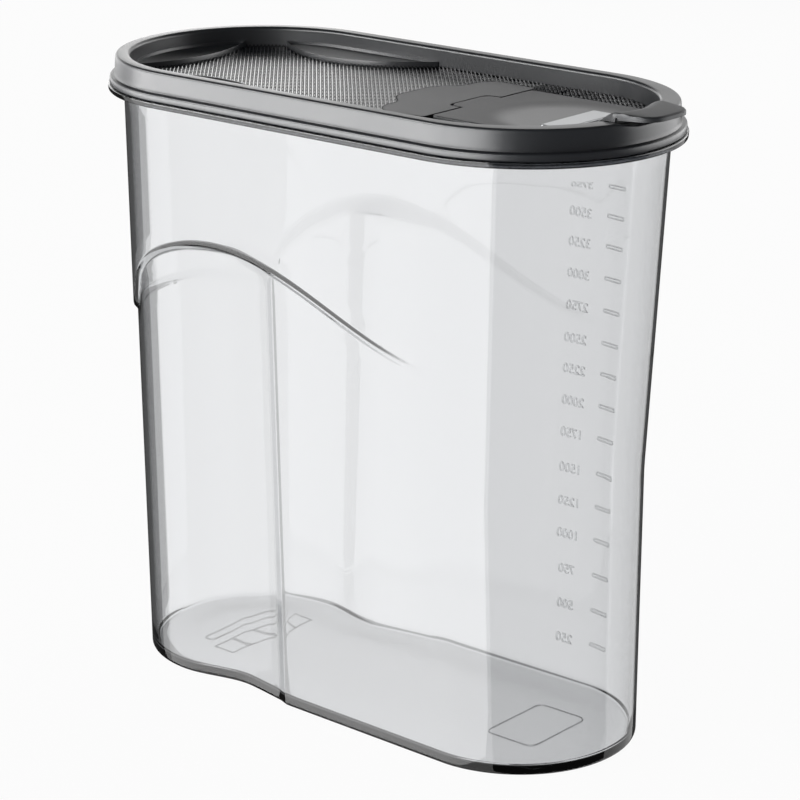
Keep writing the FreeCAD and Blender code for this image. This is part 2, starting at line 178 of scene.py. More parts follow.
class ContainerSizes(PropertyGroup):
    """Sizes of the clear container."""

    flange_low: length("Flange height", "Underside of the mouth flange", CONTAINER_HIGH.z - 0.0108)
    flange_thickness: length("Flange thickness", "Thickness of the mouth flange", 0.0022)
    flange_overhang: length("Flange overhang", "Flange beyond the wall", 0.0060)
    flange_round: length("Flange round", "Rounding of the flange edge", 0.0004)
    collar_top: length("Collar top", "Top of the wall inside the lid", CONTAINER_HIGH.z)
    base_half_width: length("Base half width", "Half of the outer width at the base", 0.0452)
    mouth_half_width: length("Mouth half width", "Half of the outer width at the mouth", 0.0521)
    end_centre: length("End centre", "Centres of the end half circles at the mouth", 0.0645)
    grip_base_reach: length("Gripped end", "Gripped end at the base, from the middle", 0.114)
    pour_base_reach: length("Pouring end", "Pouring end at the base, from the middle", 0.1095)
    pour_bend: length("Pouring end bend", "Height above which the pouring end flares", 0.105)
    wall: length("Wall", "Thickness of the wall", 0.0018)
    floor: length("Floor", "Top of the floor above the surface it stands on", 0.0031)
    foot_round: length("Foot round", "Rounding between the wall and the base", 0.0017)
    inner_foot: length("Inner corner", "Rounding between the wall and the floor", 0.0022)
    foot_hollow: length("Foot hollow", "Base inside its ring, above the surface it stands on", 0.0005)
    crest_x: length("Crest place", "Highest point of the step over the grip recess", -0.043)
    crest_z: length("Crest height", "Height of the step at its crest", 0.1793)
    step_end_z: length("Step end height", "Height of the step round the gripped end", 0.1450)
    step_end_run: length("Step end run", "From the crest to where the step turns down", 0.0525)
    fade_x: length("Fade place", "Where the step has run out", 0.070)
    fade_z: length("Fade height", "Height of the step where it has run out", 0.150)
    grip_step: length("Gripped end step", "Depth of the step at the gripped end", 0.0016)
    pinch_x: length("Pinch place", "Narrowest place of the grip recess", -0.041)
    pinch_depth: length("Pinch depth", "Depth of the grip recess", 0.0066)
    crease_x: length("Crease place", "Upright edge at the front of the grip recess", -0.0145)
    crease_inset: length("Crease inset", "Depth of the wall at the crease", 0.0016)
    pinch_round: number("Pinch round", "Softness of the recess at its narrowest, as a share of its run", 0.16)
    crease_round: length("Crease round", "Softening of the crease", 0.00010)
    back_softer: length("Back softening", "Extra softening of the back's crease", 0.0028)
    inner_softer: length("Inner softening", "Extra softening of the crease inside the wall", 0.0009)
    facet_width: length("Facet width", "Width of the facet beside the crease", 0.0042)
    facet_drop: length("Facet drop", "Depth gained across the facet", 0.0016)


class ScaleSizes(PropertyGroup):
    """Sizes of the raised scale on the back wall."""

    label_x: length("Numeral place", "Middle of the numerals", 0.0527)
    tick_end_x: length("Tick end", "Outer end of the ticks", 0.0743)
    tick_length: length("Tick length", "Length of a tick", 0.0088)
    tick_height: length("Tick height", "Height of a tick", 0.0016)
    numeral_height: length("Numeral height", "Height of a numeral", 0.0038)
    numeral_drop: length("Numeral drop", "Middle of a numeral below its tick", 0.001)
    line_width: length("Line width", "Width of the raised lines of the ticks and base frames", 0.00045)
    raised: length("Raise", "Height of the marks above the wall", 0.0004)
    step: IntProperty(name="Step", description="Volume between two marks", default=250)


class LidSizes(PropertyGroup):
    """Sizes of the lid."""

    rim_top: length("Rim top", "Top of the rim", LID_HIGH.z)
    seat: length("Seat", "Flange top that the lid sits on", LID_HIGH.z - 0.011)
    reach: length("Bead half width", "Outer half width at the bead", LID_HIGH.y)
    end_centre: length("End centre", "Centres of the end half circles", 0.0645)
    bead_height: length("Bead height", "Height of the foot bead", 0.003)
    skirt_setback: length("Skirt setback", "Foot of the outer wall inside the bead", 0.002)
    channel_outer: length("Channel outer", "Outer half width of the collar channel", 0.05245)
    rim_half_width: length("Rim half width", "Outer half width under the rim round", 0.0551)
    rim_round: length("Rim round", "Rounding of the rim top", 0.0011)
    inner_round: length("Inner round", "Rounding of the rim's inner edge", 0.0014)
    rim_inner: length("Rim inner", "Inner half width at the rim top", 0.0493)
    recess_half_width: length("Recess half width", "Half width at the foot of the recess", 0.04855)
    rim_pour_extra: length("Pouring end extra", "Extra rim width at the pouring end", 0.0025)
    plug_half_width: length("Plug half width", "Outer half width of the plug", 0.04995)
    plug_low: length("Plug foot", "Lower edge of the plug", LID_LOW.z)
    channel_roof: length("Channel roof", "Roof of the collar channel", 0.24095)
    panel_top: length("Panel top", "Foot of the textured panel", LID_HIGH.z - 0.0076)
    panel_low: length("Panel underside", "Underside of the panel", LID_HIGH.z - 0.0096)
    raised_top: length("Platform top", "Top of the smooth platform", LID_HIGH.z - 0.005)
    rib_angle: number("Rib angle", "Turn of the panel's ribs from straight across, in degrees", 42.0)
    rib_pitch: length("Rib pitch", "Pitch of the panel's ribs", 0.00147)
    rib_rise: length("Rib rise", "Height of the panel's ribs", 0.0008)
    bar_pitch: length("Bar pitch", "Pitch of the low bars between the ribs", 0.0058)
    bar_share: number("Bar height", "Height of the bars as a share of the ribs", 0.3)
    dip_half_width: length("Rim dip", "Half width of the rim dip under the tab", 0.0175)
    dip_run: length("Rim dip run", "Length over which each side of the dip sinks", 0.0115)
    dip_depth: length("Rim dip depth", "Depth of the dip", 0.0018)
    opening_half_width: length("Opening half width", "Half width of the pour opening", 0.0243)
    opening_start: length("Opening start", "Hinge side of the pour opening", 0.0493)
    opening_radius: length("Opening radius", "Radius of the pour opening's end", 0.04345)
    pad_rise: length("Pad rise", "Height of the lens pads' lips above the panel", 0.0023)
    side_pad_x: length("Side pad place", "Middle of the side pads", -0.0525)
    side_pad_half_length: length("Side pad", "Half length of a side pad", 0.0365)
    side_pad_swell: length("Side pad swell", "Swell of a side pad beyond its chord", 0.0165)
    end_pad_turn: number("End pad turn", "Half of the end pad's arc, in degrees", 40.0)
    end_pad_swell: length("End pad swell", "Swell of the end pad beyond its chord", 0.0087)


class FlapSizes(PropertyGroup):
    """Sizes of the pour flap and its badge."""

    hinge_x: length("Hinge place", "Pin axis from the middle", 0.042)
    hinge_z: length("Hinge height", "Pin axis height", 0.2361)
    plate_top: length("Plate top", "Top of the flap", LID_HIGH.z - 0.005)
    plate_low: length("Plate underside", "Underside of the flap", LID_HIGH.z - 0.0073)
    plate_start: length("Plate start", "Hinge edge of the flap", 0.0450)
    half_width: length("Half width", "Half width of the flap", FLAP_HIGH.y)
    corner: length("Corner", "Rounding of the hinge corners", 0.0016)
    end_radius: length("End radius", "Radius of the flap's end", 0.04795)
    tongue_start: length("Tongue start", "Hinge end of the tongue", 0.0384)
    tongue_half_width: length("Tongue half width", "Half width of the tongue", 0.0112)
    dish_depth: length("Dish depth", "Depth of the shallow dish round the badge", 0.0006)
    skirt_low: length("Skirt foot", "Lower edge of the plug skirt", FLAP_LOW.z)
    tab_start: length("Tab start", "Foot of the thumb tab's ramp", 0.0970)
    tab_crest: length("Tab crest", "Crest of the thumb tab", 0.1184)
    tab_tip: length("Tab tip", "Tip of the thumb tab", FLAP_HIGH.x)
    tab_top: length("Tab top", "Height of the crest", FLAP_HIGH.z)
    tab_half_width: length("Tab half width", "Half width of the thumb tab", 0.0135)
    badge_x: length("Badge place", "Middle of the badge", 0.088)
    badge_length: length("Badge length", "Length of the badge across the flap", 0.031)
    badge_width: length("Badge width", "Width of the badge along the flap", 0.010)


class Finishes(PropertyGroup):
    """Colours of the canister's materials."""

    clear: colour("Clear wall", "Tint of the clear plastic", (0.985, 0.987, 0.99))
    # Painted shade: this near-black flange colour stands in for the dark lid seen through and reflected in
    # the clear flange
    flange: colour("Flange", "Tint of the flange that the lid sits on", (0.03, 0.032, 0.036))
    smoke: colour("Smoke", "Absorption colour inside the clear plastic", (0.32, 0.34, 0.37))
    smoke_density: number("Smoke density", "Absorption density inside the clear plastic", 108.0)
    lid: colour("Lid", "Anthracite of the lid", (0.018, 0.020, 0.024))
    silver: colour("Badge", "Silver of the badge", (0.50, 0.51, 0.52))


class StageSettings(PropertyGroup):
    """Camera and light of the stage."""

    azimuth: number("Azimuth", "Camera angle round the canister, in degrees", 40.69)
    elevation: number("Elevation", "Camera angle above the horizon, in degrees", 17.51)
    distance: length("Distance", "Camera from its target", 1.1119)
    target_height: length("Target", "Height that the camera looks at", 0.1215)
    lens: number("Lens", "Focal length on a 36 mm sensor", 131.37)
    shift_x: number("Shift across", "Sideways shift of the lens", 0.0153)
    shift_y: number("Shift up", "Upward shift of the lens", -0.0162)
    key_power: number("Key power", "Power of the soft box in front", 12.0)
    front_power: number("Front card", "Power of the reflection card in front", 80.0)
    low_power: number("Low card", "Power of the reflection card below the front card", 18.0)
    left_power: number("Left card", "Power of the reflection card at the gripped end", 5.5)
    right_power: number("Right card", "Power of the reflection card at the pouring end", 9.5)
    back_power: number("Back power", "Power of the soft box behind", 10.0)


class Wire:
    """A shader output that takes arithmetic: each operator adds a Math node fed by its two sides."""

    def __init__(self, finish, socket):
        self.finish = finish
        self.socket = socket

    def maths(self, operation, first, second=0.0):
        """The result of one Math node."""
        return self.finish.node("ShaderNodeMath", {"operation": operation}, {0: first, 1: second})

    def __add__(self, other):
        return self.maths("ADD", self, other)

    def __sub__(self, other):
        return self.maths("SUBTRACT", self, other)

    def __rsub__(self, other):
        return self.maths("SUBTRACT", other, self)

    def __mul__(self, other):
        return self.maths("MULTIPLY", self, other)

    def __gt__(self, other):
        return self.maths("GREATER_THAN", self, other)

    def __lt__(self, other):
        return self.maths("LESS_THAN", self, other)

    __radd__ = __add__
    __rmul__ = __mul__


class Finish:
    """The node tree of a material or of the world."""

    def __init__(self, owner):
        owner.use_nodes = True
        self.owner = owner
        self.tree = owner.node_tree
        self.tree.nodes.clear()

    def node(self, kind, settings=None, sockets=None, output=0):
        """Adds a node, sets its settings and then its sockets, and gives one of its outputs."""
        made = self.tree.nodes.new(kind)
        for key, value in (settings or {}).items():
            setattr(made, key, value)
        for key, value in (sockets or {}).items():
            if isinstance(value, Wire):
                self.tree.links.new(value.socket, made.inputs[key])
            else:
                made.inputs[key].default_value = value
        outputs = made.outputs
        return Wire(self, outputs[output]) if len(outputs) else None

    def place(self):
        """Object coordinates of the point that is shaded."""
        return self.node("ShaderNodeTexCoord", output="Object")

    def noise(self, scale, detail=2.0, roughness=0.5):
        """Noise of that many cells per metre on object coordinates, from 0 to 1."""
        sockets = {"Vector": self.place(), "Scale": scale, "Detail": detail, "Roughness": roughness}
        return self.node("ShaderNodeTexNoise", None, sockets, "Fac")

    def axes(self, vector):
        """The three parts of a vector."""
        split = self.node("ShaderNodeSeparateXYZ", None, {"Vector": vector})
        return [Wire(self, part) for part in split.socket.node.outputs]

    def fade(self, value, start, end):
        """Smooth rise from 0 to 1 as a value goes from start to end."""
        return self.node("ShaderNodeMapRange", {"interpolation_type": "SMOOTHSTEP"}, {
            "Value": value, "From Min": start, "From Max": end,
        })

    def mix(self, factor, first, second):
        """A mix of two colours."""
        return self.node(
            "ShaderNodeMix", {"data_type": "RGBA"}, {"Factor": factor, "A": first, "B": second}, "Result"
        )

    def done(self, shader, **sockets):
        """Joins a shader to the material's output, and gives the material."""
        self.node("ShaderNodeOutputMaterial", None, {"Surface": shader, **sockets})
        return self.owner


def shaded(tint, share):
    """A colour times a share, opaque."""
    return (*(share * part for part in tint), 1.0)


def smooth(t):
    """Smooth rise from 0 to 1: three t squared less two t cubed, held at its ends."""
    t = np.clip(t, 0.0, 1.0)
    return t * t * (3.0 - 2.0 * t)


def new_mesh(name, points, polygons):
    """Mesh from an array of points and a list of arrays of equal-sided faces."""
    mesh = bpy.data.meshes.new(name)
    corners = np.concatenate([faces.ravel() for faces in polygons])
    totals = np.concatenate([np.full(len(faces), faces.shape[1]) for faces in polygons])
    starts = np.concatenate([[0], np.cumsum(totals)[:-1]])
    mesh.vertices.add(len(points))
    mesh.vertices.foreach_set("co", np.ascontiguousarray(points, np.float32).ravel())
    mesh.loops.add(len(corners))
    mesh.loops.foreach_set("vertex_index", corners.astype(np.int32))
    mesh.polygons.add(len(totals))
    mesh.polygons.foreach_set("loop_start", starts.astype(np.int32))
    mesh.polygons.foreach_set("loop_total", totals.astype(np.int32))
    mesh.update(calc_edges=True)
    mesh.validate()
    return mesh


def grid_faces(rows, columns, wrap_rows, wrap_columns, first=0):
    """Quads of a grid of rows and columns, each side wrapped round if asked."""
    index = first + np.arange(rows * columns).reshape(rows, columns)
    beside = np.roll(index, -1, axis=1)
    above = np.roll(index, -1, axis=0)
    corner = np.roll(beside, -1, axis=0)
    quads = np.stack([index, beside, corner, above], axis=-1)
    quads = quads if wrap_rows else quads[:-1]
    quads = quads if wrap_columns else quads[:, :-1]
    return quads.reshape(-1, 4)


def grid_mesh(name, points, wrap_rows=False, wrap_columns=True):
    """Mesh of a grid of points of shape (rows, columns, 3)."""
    rows, columns = points.shape[:2]
    faces = grid_faces(rows, columns, wrap_rows, wrap_columns)
    return new_mesh(name, points.reshape(-1, 3), [faces])


def clean(mesh, sharp_angle, outward=False):
    """Merges doubles, turns the faces outwards if asked, and shades smooth up to the sharp angle."""
    shape = bmesh.new()
    shape.from_mesh(mesh)
    bmesh.ops.remove_doubles(shape, verts=shape.verts, dist=1e-6)
    if outward:
        bmesh.ops.recalc_face_normals(shape, faces=shape.faces)
    shape.to_mesh(mesh)
    shape.free()
    mesh.shade_smooth()
    mesh.set_sharp_from_angle(angle=math.radians(sharp_angle))


def add_piece(mesh, material, body, nodes=(), sharp_angle=35.0, outward=False):
    """Puts a mesh in the scene as a piece that rides on a body and may stand for CAD nodes."""
    clean(mesh, sharp_angle, outward)
    mesh.materials.append(material)
    piece = bpy.data.objects.new(mesh.name, mesh)
    bpy.context.scene.collection.objects.link(piece)
    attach(piece, body)
    if nodes:
        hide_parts(*nodes)


def joined(name, meshes):
    """One mesh made of several."""
    shape = bmesh.new()
    for mesh in meshes:
        shape.from_mesh(mesh)
        bpy.data.meshes.remove(mesh)
    made = bpy.data.meshes.new(name)
    shape.to_mesh(made)
    shape.free()
    return made


def corner_arc(across, up, radius, start, end, count):
    """Points of a circular arc in a section, as pairs of place across and height, angles in degrees."""
    turn = np.radians(np.linspace(start, end, count))
    return np.stack([across + radius * np.cos(turn), up + radius * np.sin(turn)], axis=1)


def stadium_columns(side_shares, end_count):
    """Columns round a stadium: the piece each is on and its share along it.

    The pieces are 0 the front side, 1 the pouring end, 2 the back side and 3 the gripped end, which go round
    anticlockwise from above. The back side repeats the front side's places in the opposite order.
    """
    end_shares = np.arange(end_count) / end_count
    back_shares = np.concatenate([[0.0], 1.0 - side_shares[:0:-1]])
    counts = [len(side_shares), end_count, len(back_shares), end_count]
    piece = np.repeat([0, 1, 2, 3], counts)
    return piece, np.concatenate([side_shares, end_shares, back_shares, end_shares])


def stadium_points(columns, half, left, right, knee=None):
    """Plan points of stadium columns of a half width and two end centres.

    A side runs straight between the end centres, in two even stretches if a knee gives a place and its share.
    An end is a half circle about its centre.
    """
    piece, share = columns
    along = np.where(piece == 2, 1.0 - share, share)
    knee_x, knee_share = knee if knee else (0.5 * (right - left), 0.5)
    before = -left + along / knee_share * (knee_x + left)
    after = knee_x + (along - knee_share) / (1.0 - knee_share) * (right - knee_x)
    side = np.where(along < knee_share, before, after)
    turn = np.pi * (share - 0.5)
    pour_x = right + half * np.cos(turn)
    grip_x = -left - half * np.cos(turn)
    end_y = half * np.sin(turn)
    x = np.where(piece == 1, pour_x, np.where(piece == 3, grip_x, side))
    y = np.where(piece == 1, end_y, np.where(piece == 3, -end_y, np.where(piece == 2, half, -half)))
    return x, y


def drafted_sides(sizes, z):
    """Half width and the two end centres of the outer wall at a height.

    Each is a straight draft from the base to the mouth, but the pouring end is upright below its bend.
    """
    rise = np.clip(z / sizes.flange_low, 0.0, 1.0)
    flare = np.clip((z - sizes.pour_bend) / (sizes.flange_low - sizes.pour_bend), 0.0, 1.0)
    mouth_reach = sizes.end_centre + sizes.mouth_half_width
    half = sizes.base_half_width + (sizes.mouth_half_width - sizes.base_half_width) * rise
    left = sizes.grip_base_reach + (mouth_reach - sizes.grip_base_reach) * rise - half
    right = sizes.pour_base_reach + (mouth_reach - sizes.pour_base_reach) * flare - half
    return half, left, right


def recess_depth(sizes, x, left, softer=0.0):
    """Depth of the lower wall behind the upper one along the canister.

    It rises smoothly from the gripped end's step to the pinch, bends along a hyperbola into an almost
    straight fall to a narrow steeper facet, and beyond the crease fades in a straight line. The facet's
    two edges are a rounded minimum and a rounded maximum of the lines that meet there.
    """
    grip, pinch, inset = sizes.grip_step, sizes.pinch_depth, sizes.crease_inset
    rising = grip + (pinch - grip) * smooth((x + left) / (sizes.pinch_x + left))
    bend = sizes.pinch_round
    run = sizes.crease_x - sizes.facet_width - sizes.pinch_x
    t = np.maximum(x - sizes.pinch_x, 0.0) / run
    fall = (np.sqrt(t ** 2 + bend ** 2) - bend) / (math.sqrt(1.0 + bend ** 2) - bend)
    falling = pinch + (inset + sizes.facet_drop - pinch) * fall
    facet = inset + sizes.facet_drop * (sizes.crease_x - x) / sizes.facet_width
    fading = inset * np.maximum(sizes.fade_x - x, 0.0) / (sizes.fade_x - sizes.crease_x)
    bend = sizes.crease_round + softer
    apart = np.sqrt((falling - facet) ** 2 + bend ** 2)
    inner = 0.5 * (falling + facet - apart)
    apart = np.sqrt((inner - fading) ** 2 + bend ** 2)
    softened = 0.5 * (inner + fading + apart)
    return np.where(x < sizes.pinch_x, rising, softened)


def step_line(sizes, x):
    """Height of the step over the grip recess: a quarter ellipse up to the crest, then half a cosine down."""
    before = np.clip((sizes.crest_x - x) / sizes.step_end_run, 0.0, 1.0)
    after = np.clip((x - sizes.crest_x) / (sizes.fade_x - sizes.crest_x), 0.0, 1.0)
    climb = sizes.step_end_z + (sizes.crest_z - sizes.step_end_z) * np.sqrt(1.0 - before ** 2)
    sink = sizes.fade_z + (sizes.crest_z - sizes.fade_z) * 0.5 * (1.0 + np.cos(np.pi * after))
    return np.where(x < sizes.crest_x, climb, sink)


def container_wall(step, tall, low, high, counts):
    """Heights of a wall's rows and how far each is sunk: up to the step, over it, and on to the top."""
    lower, over, upper = (np.linspace(0.0, 1.0, count)[:, None] for count in counts)
    start = step - tall
    z = np.concatenate([
        low + (start - low) * lower[:-1],
        start + tall * over[:-1],
        step + (high - step) * upper,
    ])
    sunk = np.concatenate([np.ones_like(lower[:-1]), 1.0 - smooth(over[:-1]), np.zeros_like(upper)])
    return z, sunk + 0.0 * z


def container_mesh(sizes):
    """The clear container as one closed surface: base, outer wall, flange, collar, inner wall and floor.

    Rows follow the section from the middle of the base round to the middle of the floor, and columns go round
    the stadium. The wall rows bend with the step line, and the lower ones are sunk by the recess depth.
    """
    columns = stadium_columns(SIDE_SHARES, 56)
    knee = (sizes.crease_x, CREASE_SHARE)
    width = len(columns[0])
    half, left, right = drafted_sides(sizes, sizes.fade_z)
    x, y = stadium_points(columns, half, left, right, knee)
    step = step_line(sizes, x)
    back = smooth(y / half)
    nearer = smooth((x - sizes.crest_x + BACK_STEP_LEAD) / BACK_STEP_RUN)
    stretch = 1.0 + back * (BACK_STEP_STRETCH - BACK_STEP_LOSS * nearer)
    tall = stretch * (STEP_HEIGHT + STEP_SLOPE * recess_depth(sizes, x, left))

    wall, foot, floor, inner_foot = sizes.wall, sizes.foot_round, sizes.floor, sizes.inner_foot
    low, top = sizes.flange_low, sizes.flange_low + sizes.flange_thickness
    over, edge, lip = sizes.flange_overhang, sizes.flange_round, 0.5 * wall - LIP_FLAT
    under, above = FLANGE_FILLET, COLLAR_FILLET

    base_pull = np.array([1.0, 0.8, 0.6, 0.45, 0.3, 0.2, 0.12, 0.05])
    base_z = sizes.foot_hollow * smooth((base_pull - base_pull[-1]) / HOLLOW_RUN)
    floor_pull = np.array([0.06, 0.12, 0.25, 0.4, 0.6, 0.8, 1.0])
    turn = np.linspace(0.0, QUARTER_TURN, 7)[:-1, None]
    rise, draw = 1 - np.cos(turn), 1 - np.sin(turn)
    outer_z, outer_sunk = container_wall(step, tall, foot, low - under, (28, 10, 12))
    inner_z, inner_sunk = container_wall(step + wall, tall, floor + inner_foot, INNER_TOP, (24, 10, 12))
    collar = np.concatenate([
        corner_arc(-under, low - under, under, 22.5, 90, 4),
        corner_arc(edge - over + FLANGE_DRAFT, low + edge, -edge, 90, 0, 6),
        corner_arc(edge - over, top - edge, -edge, 0, -90, 6),
        corner_arc(-above, top + above, above, -90, 0, 4),
        corner_arc(lip, sizes.collar_top - lip, -lip, 0, -90, 5),
        corner_arc(wall - lip, sizes.collar_top - lip, lip, 90, 22.5, 4),
    ])
    base_rows, floor_rows = len(base_pull) + len(turn), len(turn) + len(floor_pull)

    def spread(values):
        """A column of values repeated round the stadium."""
        return np.broadcast_to(values, (len(values), width))

    z = np.concatenate([
        spread(base_z[:, None]), spread(foot * rise), outer_z, spread(collar[:, 1:]), inner_z[::-1],
        spread(floor + inner_foot * rise[::-1]), np.full((len(floor_pull), width), floor),
    ])
    inset = np.concatenate([
        np.full((len(base_pull), width), foot), spread(foot * draw), 0.0 * outer_z,
        spread(collar[:, :1]), wall + 0.0 * inner_z,
        spread(wall + inner_foot * draw[::-1]), np.full((len(floor_pull), width), wall + inner_foot),
    ])
    sunk = np.concatenate([
        np.ones((base_rows, width)), outer_sunk, np.zeros((len(collar), width)),
        inner_sunk[::-1], np.ones((floor_rows, width)),
    ])
    outer_rows = base_rows + len(outer_z) + len(collar)
    inside = np.repeat([0.0, 1.0], [outer_rows, len(inner_z) + floor_rows])[:, None]
    pull = np.zeros((len(z), 1))
    pull[:len(base_pull), 0] = base_pull
    pull[-len(floor_pull):, 0] = floor_pull

    half, left, right = drafted_sides(sizes, z)
    x, _ = stadium_points(columns, half - inset, left, right, knee)
    softer = back * sizes.back_softer + inside * sizes.inner_softer
    deep = inset + sunk * recess_depth(sizes, x, left, softer)
    x, y = stadium_points(columns, half - deep, left, right, knee)
    middle = np.clip(x, -left, right)
    x = middle + (1.0 - pull) * (x - middle)
    y = (1.0 - pull) * y
    return grid_mesh("container_shell", np.stack([x, y, z], axis=-1))


def round_end(radius, beyond):
    """Half width of a round end some way beyond its centre: a circle's, full before it and 0 past its tip."""
    return np.sqrt(np.maximum(radius ** 2 - np.maximum(beyond, 0.0) ** 2, 0.0))


def back_wall(sizes, x, z):
    """Outside of the back wall at a place and height."""
    half, left, right = drafted_sides(sizes, z)
    half = half - recess_depth(sizes, x, left) * (z < step_line(sizes, x))
    return round_end(half, x - right)


def numeral_mesh(text, height):
    """Lettering of that height and a thickness of 1, centred, lying in its own plane."""
    curve = bpy.data.curves.new("numeral", "FONT")
    curve.body = text
    curve.align_x = "CENTER"
    curve.align_y = "CENTER"
    curve.size = height * FONT_SIZE
    curve.extrude = 0.5
    curve.resolution_u = 3
    holder = bpy.data.objects.new("numeral", curve)
    mesh = bpy.data.meshes.new_from_object(holder)
    bpy.data.objects.remove(holder)
    bpy.data.curves.remove(curve)
    return mesh


def scale_mesh(sizes, marks):
    """Raised numerals and outlined ticks on the back wall.

    Flat lettering and rounded rings are bent onto the wall: their own height becomes height up the wall,
    their width runs towards the gripped end, and their thickness stands out from the wall.
    """
    meshes = []
    for place, z in enumerate(SCALE_HEIGHTS):
        mesh = numeral_mesh(str((place + 1) * marks.step), marks.numeral_height)
        points = np.empty(len(mesh.vertices) * 3)
        mesh.vertices.foreach_get("co", points)
        points = points.reshape(-1, 3)
        at_x = marks.label_x - points[:, 0]
        at_z = z - marks.numeral_drop + points[:, 1]
        out = back_wall(sizes, at_x, at_z) + marks.raised * (points[:, 2] + NUMERAL_LIFT)
        mesh.vertices.foreach_set("co", np.stack([at_x, out, at_z], axis=1).ravel())
        meshes.append(mesh)
        meshes.append(tick_mesh(sizes, marks, z))
    return joined("container_scale", meshes)


def oblong_path(long, wide, radius, centre=(0.0, 0.0)):
    """Outline of an oblong with rounded corners about a centre, anticlockwise."""
    signs = np.array([[-1.0, -1.0], [1.0, -1.0], [1.0, 1.0], [-1.0, 1.0]])
    return rounded_path(0.5 * signs * [long, wide] + centre, [radius] * 4)


def tick_mesh(sizes, marks, z):
    """One tick: a raised line round a narrow slot with round ends, bent onto the back wall."""
    outline = oblong_path(marks.tick_length, marks.tick_height, TICK_CORNER * marks.tick_height)
    ring = carried(outline, raised_line(marks, 0.0))
    at_x = marks.tick_end_x - 0.5 * marks.tick_length - ring[..., 0]
    at_z = z + ring[..., 1]
    out = back_wall(sizes, at_x, at_z) + ring[..., 2]
    return grid_mesh("tick", np.stack([at_x, out, at_z], axis=-1), wrap_rows=True)


def raised_line(marks, level):
    """Section of a raised line: insets from its outer edge and heights from just under a level."""
    wide, foot = marks.line_width, level - MARK_SINK
    side, top = level + 0.8 * marks.raised, level + marks.raised
    return np.array([
        [0.0, foot], [0.0, side], [0.2 * wide, top], [0.8 * wide, top], [wide, side], [wide, foot],
    ])


def base_frames_mesh(sizes, marks):
    """Blank raised frames on the floor: a rounded one at the pouring end, a long one and a row of four."""
    meshes = []
    for x, y, long, wide, radius in BASE_FRAMES:
        ring = carried(oblong_path(long, wide, radius, (x, y)), raised_line(marks, sizes.floor))
        meshes.append(grid_mesh("frame", ring, wrap_rows=True))
    return joined("container_base_frames", meshes)


def clear_finish(name, finishes, rough):
    """Smoky clear plastic with faint wipe marks, painted shade in the flange band, and darker on long paths
    inside it.
    """
    finish = Finish(bpy.data.materials.new(name))
    marks = finish.noise(70.0, 4.0, 0.6)
    height = finish.axes(finish.place())[2]
    # Painted shade: in the flange band the base colour turns near black, standing in for the dark lid seen
    # through the clear flange
    low, high = FLANGE_PAINTED_SHADE_BAND
    flange = finish.fade(height, low, low + 2.0 * FLANGE_PAINTED_SHADE_FADE)
    flange = flange * finish.fade(height, high + FLANGE_PAINTED_SHADE_FADE, high - FLANGE_PAINTED_SHADE_FADE)
    shader = finish.node("ShaderNodeBsdfPrincipled", None, {
        "Base Color": finish.mix(flange, (*finishes.clear, 1.0), (*finishes.flange, 1.0)),
        "Roughness": rough + 0.015 * marks,
        "IOR": 1.57,
        "Transmission Weight": 1.0,
    })
    smoke = finish.node("ShaderNodeVolumeAbsorption", None, {
        "Color": (*finishes.smoke, 1.0), "Density": finishes.smoke_density,
    })
    return finish.done(shader, Volume=smoke)


def satin_finish(name, finishes, rough, dished=False):
    """Anthracite plastic with a fine moulded grain and a little unevenness in shade and gloss.

    The flap's oval dish may be glossier than the plastic round it.
    """
    finish = Finish(bpy.data.materials.new(name))
    cloud = finish.noise(45.0, 3.0)
    grain = finish.noise(2600.0, 2.0, 0.6)
    bump = finish.node("ShaderNodeBump", None, {"Strength": 0.12, "Distance": 0.0002, "Height": grain})
    gloss = rough + 0.06 * cloud + 0.05 * grain
    if dished:
        along, across, _ = finish.axes(finish.place())
        along, across = (along - DISH_CENTRE) * (1.0 / DISH_LENGTH), across * (1.0 / DISH_WIDTH)
        gloss = gloss - 0.14 * finish.fade(along * along + across * across, 1.0, 0.45)
    shader = finish.node("ShaderNodeBsdfPrincipled", None, {
        "Base Color": finish.mix(cloud, shaded(finishes.lid, 0.86), shaded(finishes.lid, 1.14)),
        "Roughness": gloss,
        "IOR": 1.65,
        "Normal": bump,
    })
    return finish.done(shader)


def badge_finish(finishes):
    """Brushed silver: metal whose gloss and grain run in fine lines across the flap."""
    finish = Finish(bpy.data.materials.new("brushed_silver"))
    stretched = finish.node("ShaderNodeMapping", None, {
        "Vector": finish.place(), "Scale": (6000.0, 120.0, 120.0),
    })
    lines = finish.node("ShaderNodeTexNoise", None, {"Vector": stretched, "Scale": 1.0, "Detail": 2.0}, "Fac")
    bump = finish.node("ShaderNodeBump", None, {"Strength": 0.08, "Distance": 0.0001, "Height": lines})
    shader = finish.node("ShaderNodeBsdfPrincipled", None, {
        "Base Color": finish.mix(lines, shaded(finishes.silver, 0.85), shaded(finishes.silver, 1.0)),
        "Metallic": 1.0,
        "Roughness": 0.24 + 0.14 * lines,
        "Normal": bump,
    })
    return finish.done(shader)


def even_columns(side_count, end_count):
    """Stadium columns with evenly spaced places on the sides."""
    return stadium_columns(np.arange(side_count) / side_count, end_count)


def between(start, end):
    """Five points evenly spaced between two points of a section."""
    return np.linspace(start, end, 7)[1:-1]


def rim_dip(sizes, y):
    """Depth of the rim's dip under the thumb tab: full in the middle, with smooth sides."""
    return sizes.dip_depth * smooth((sizes.dip_half_width - np.abs(y)) / sizes.dip_run)


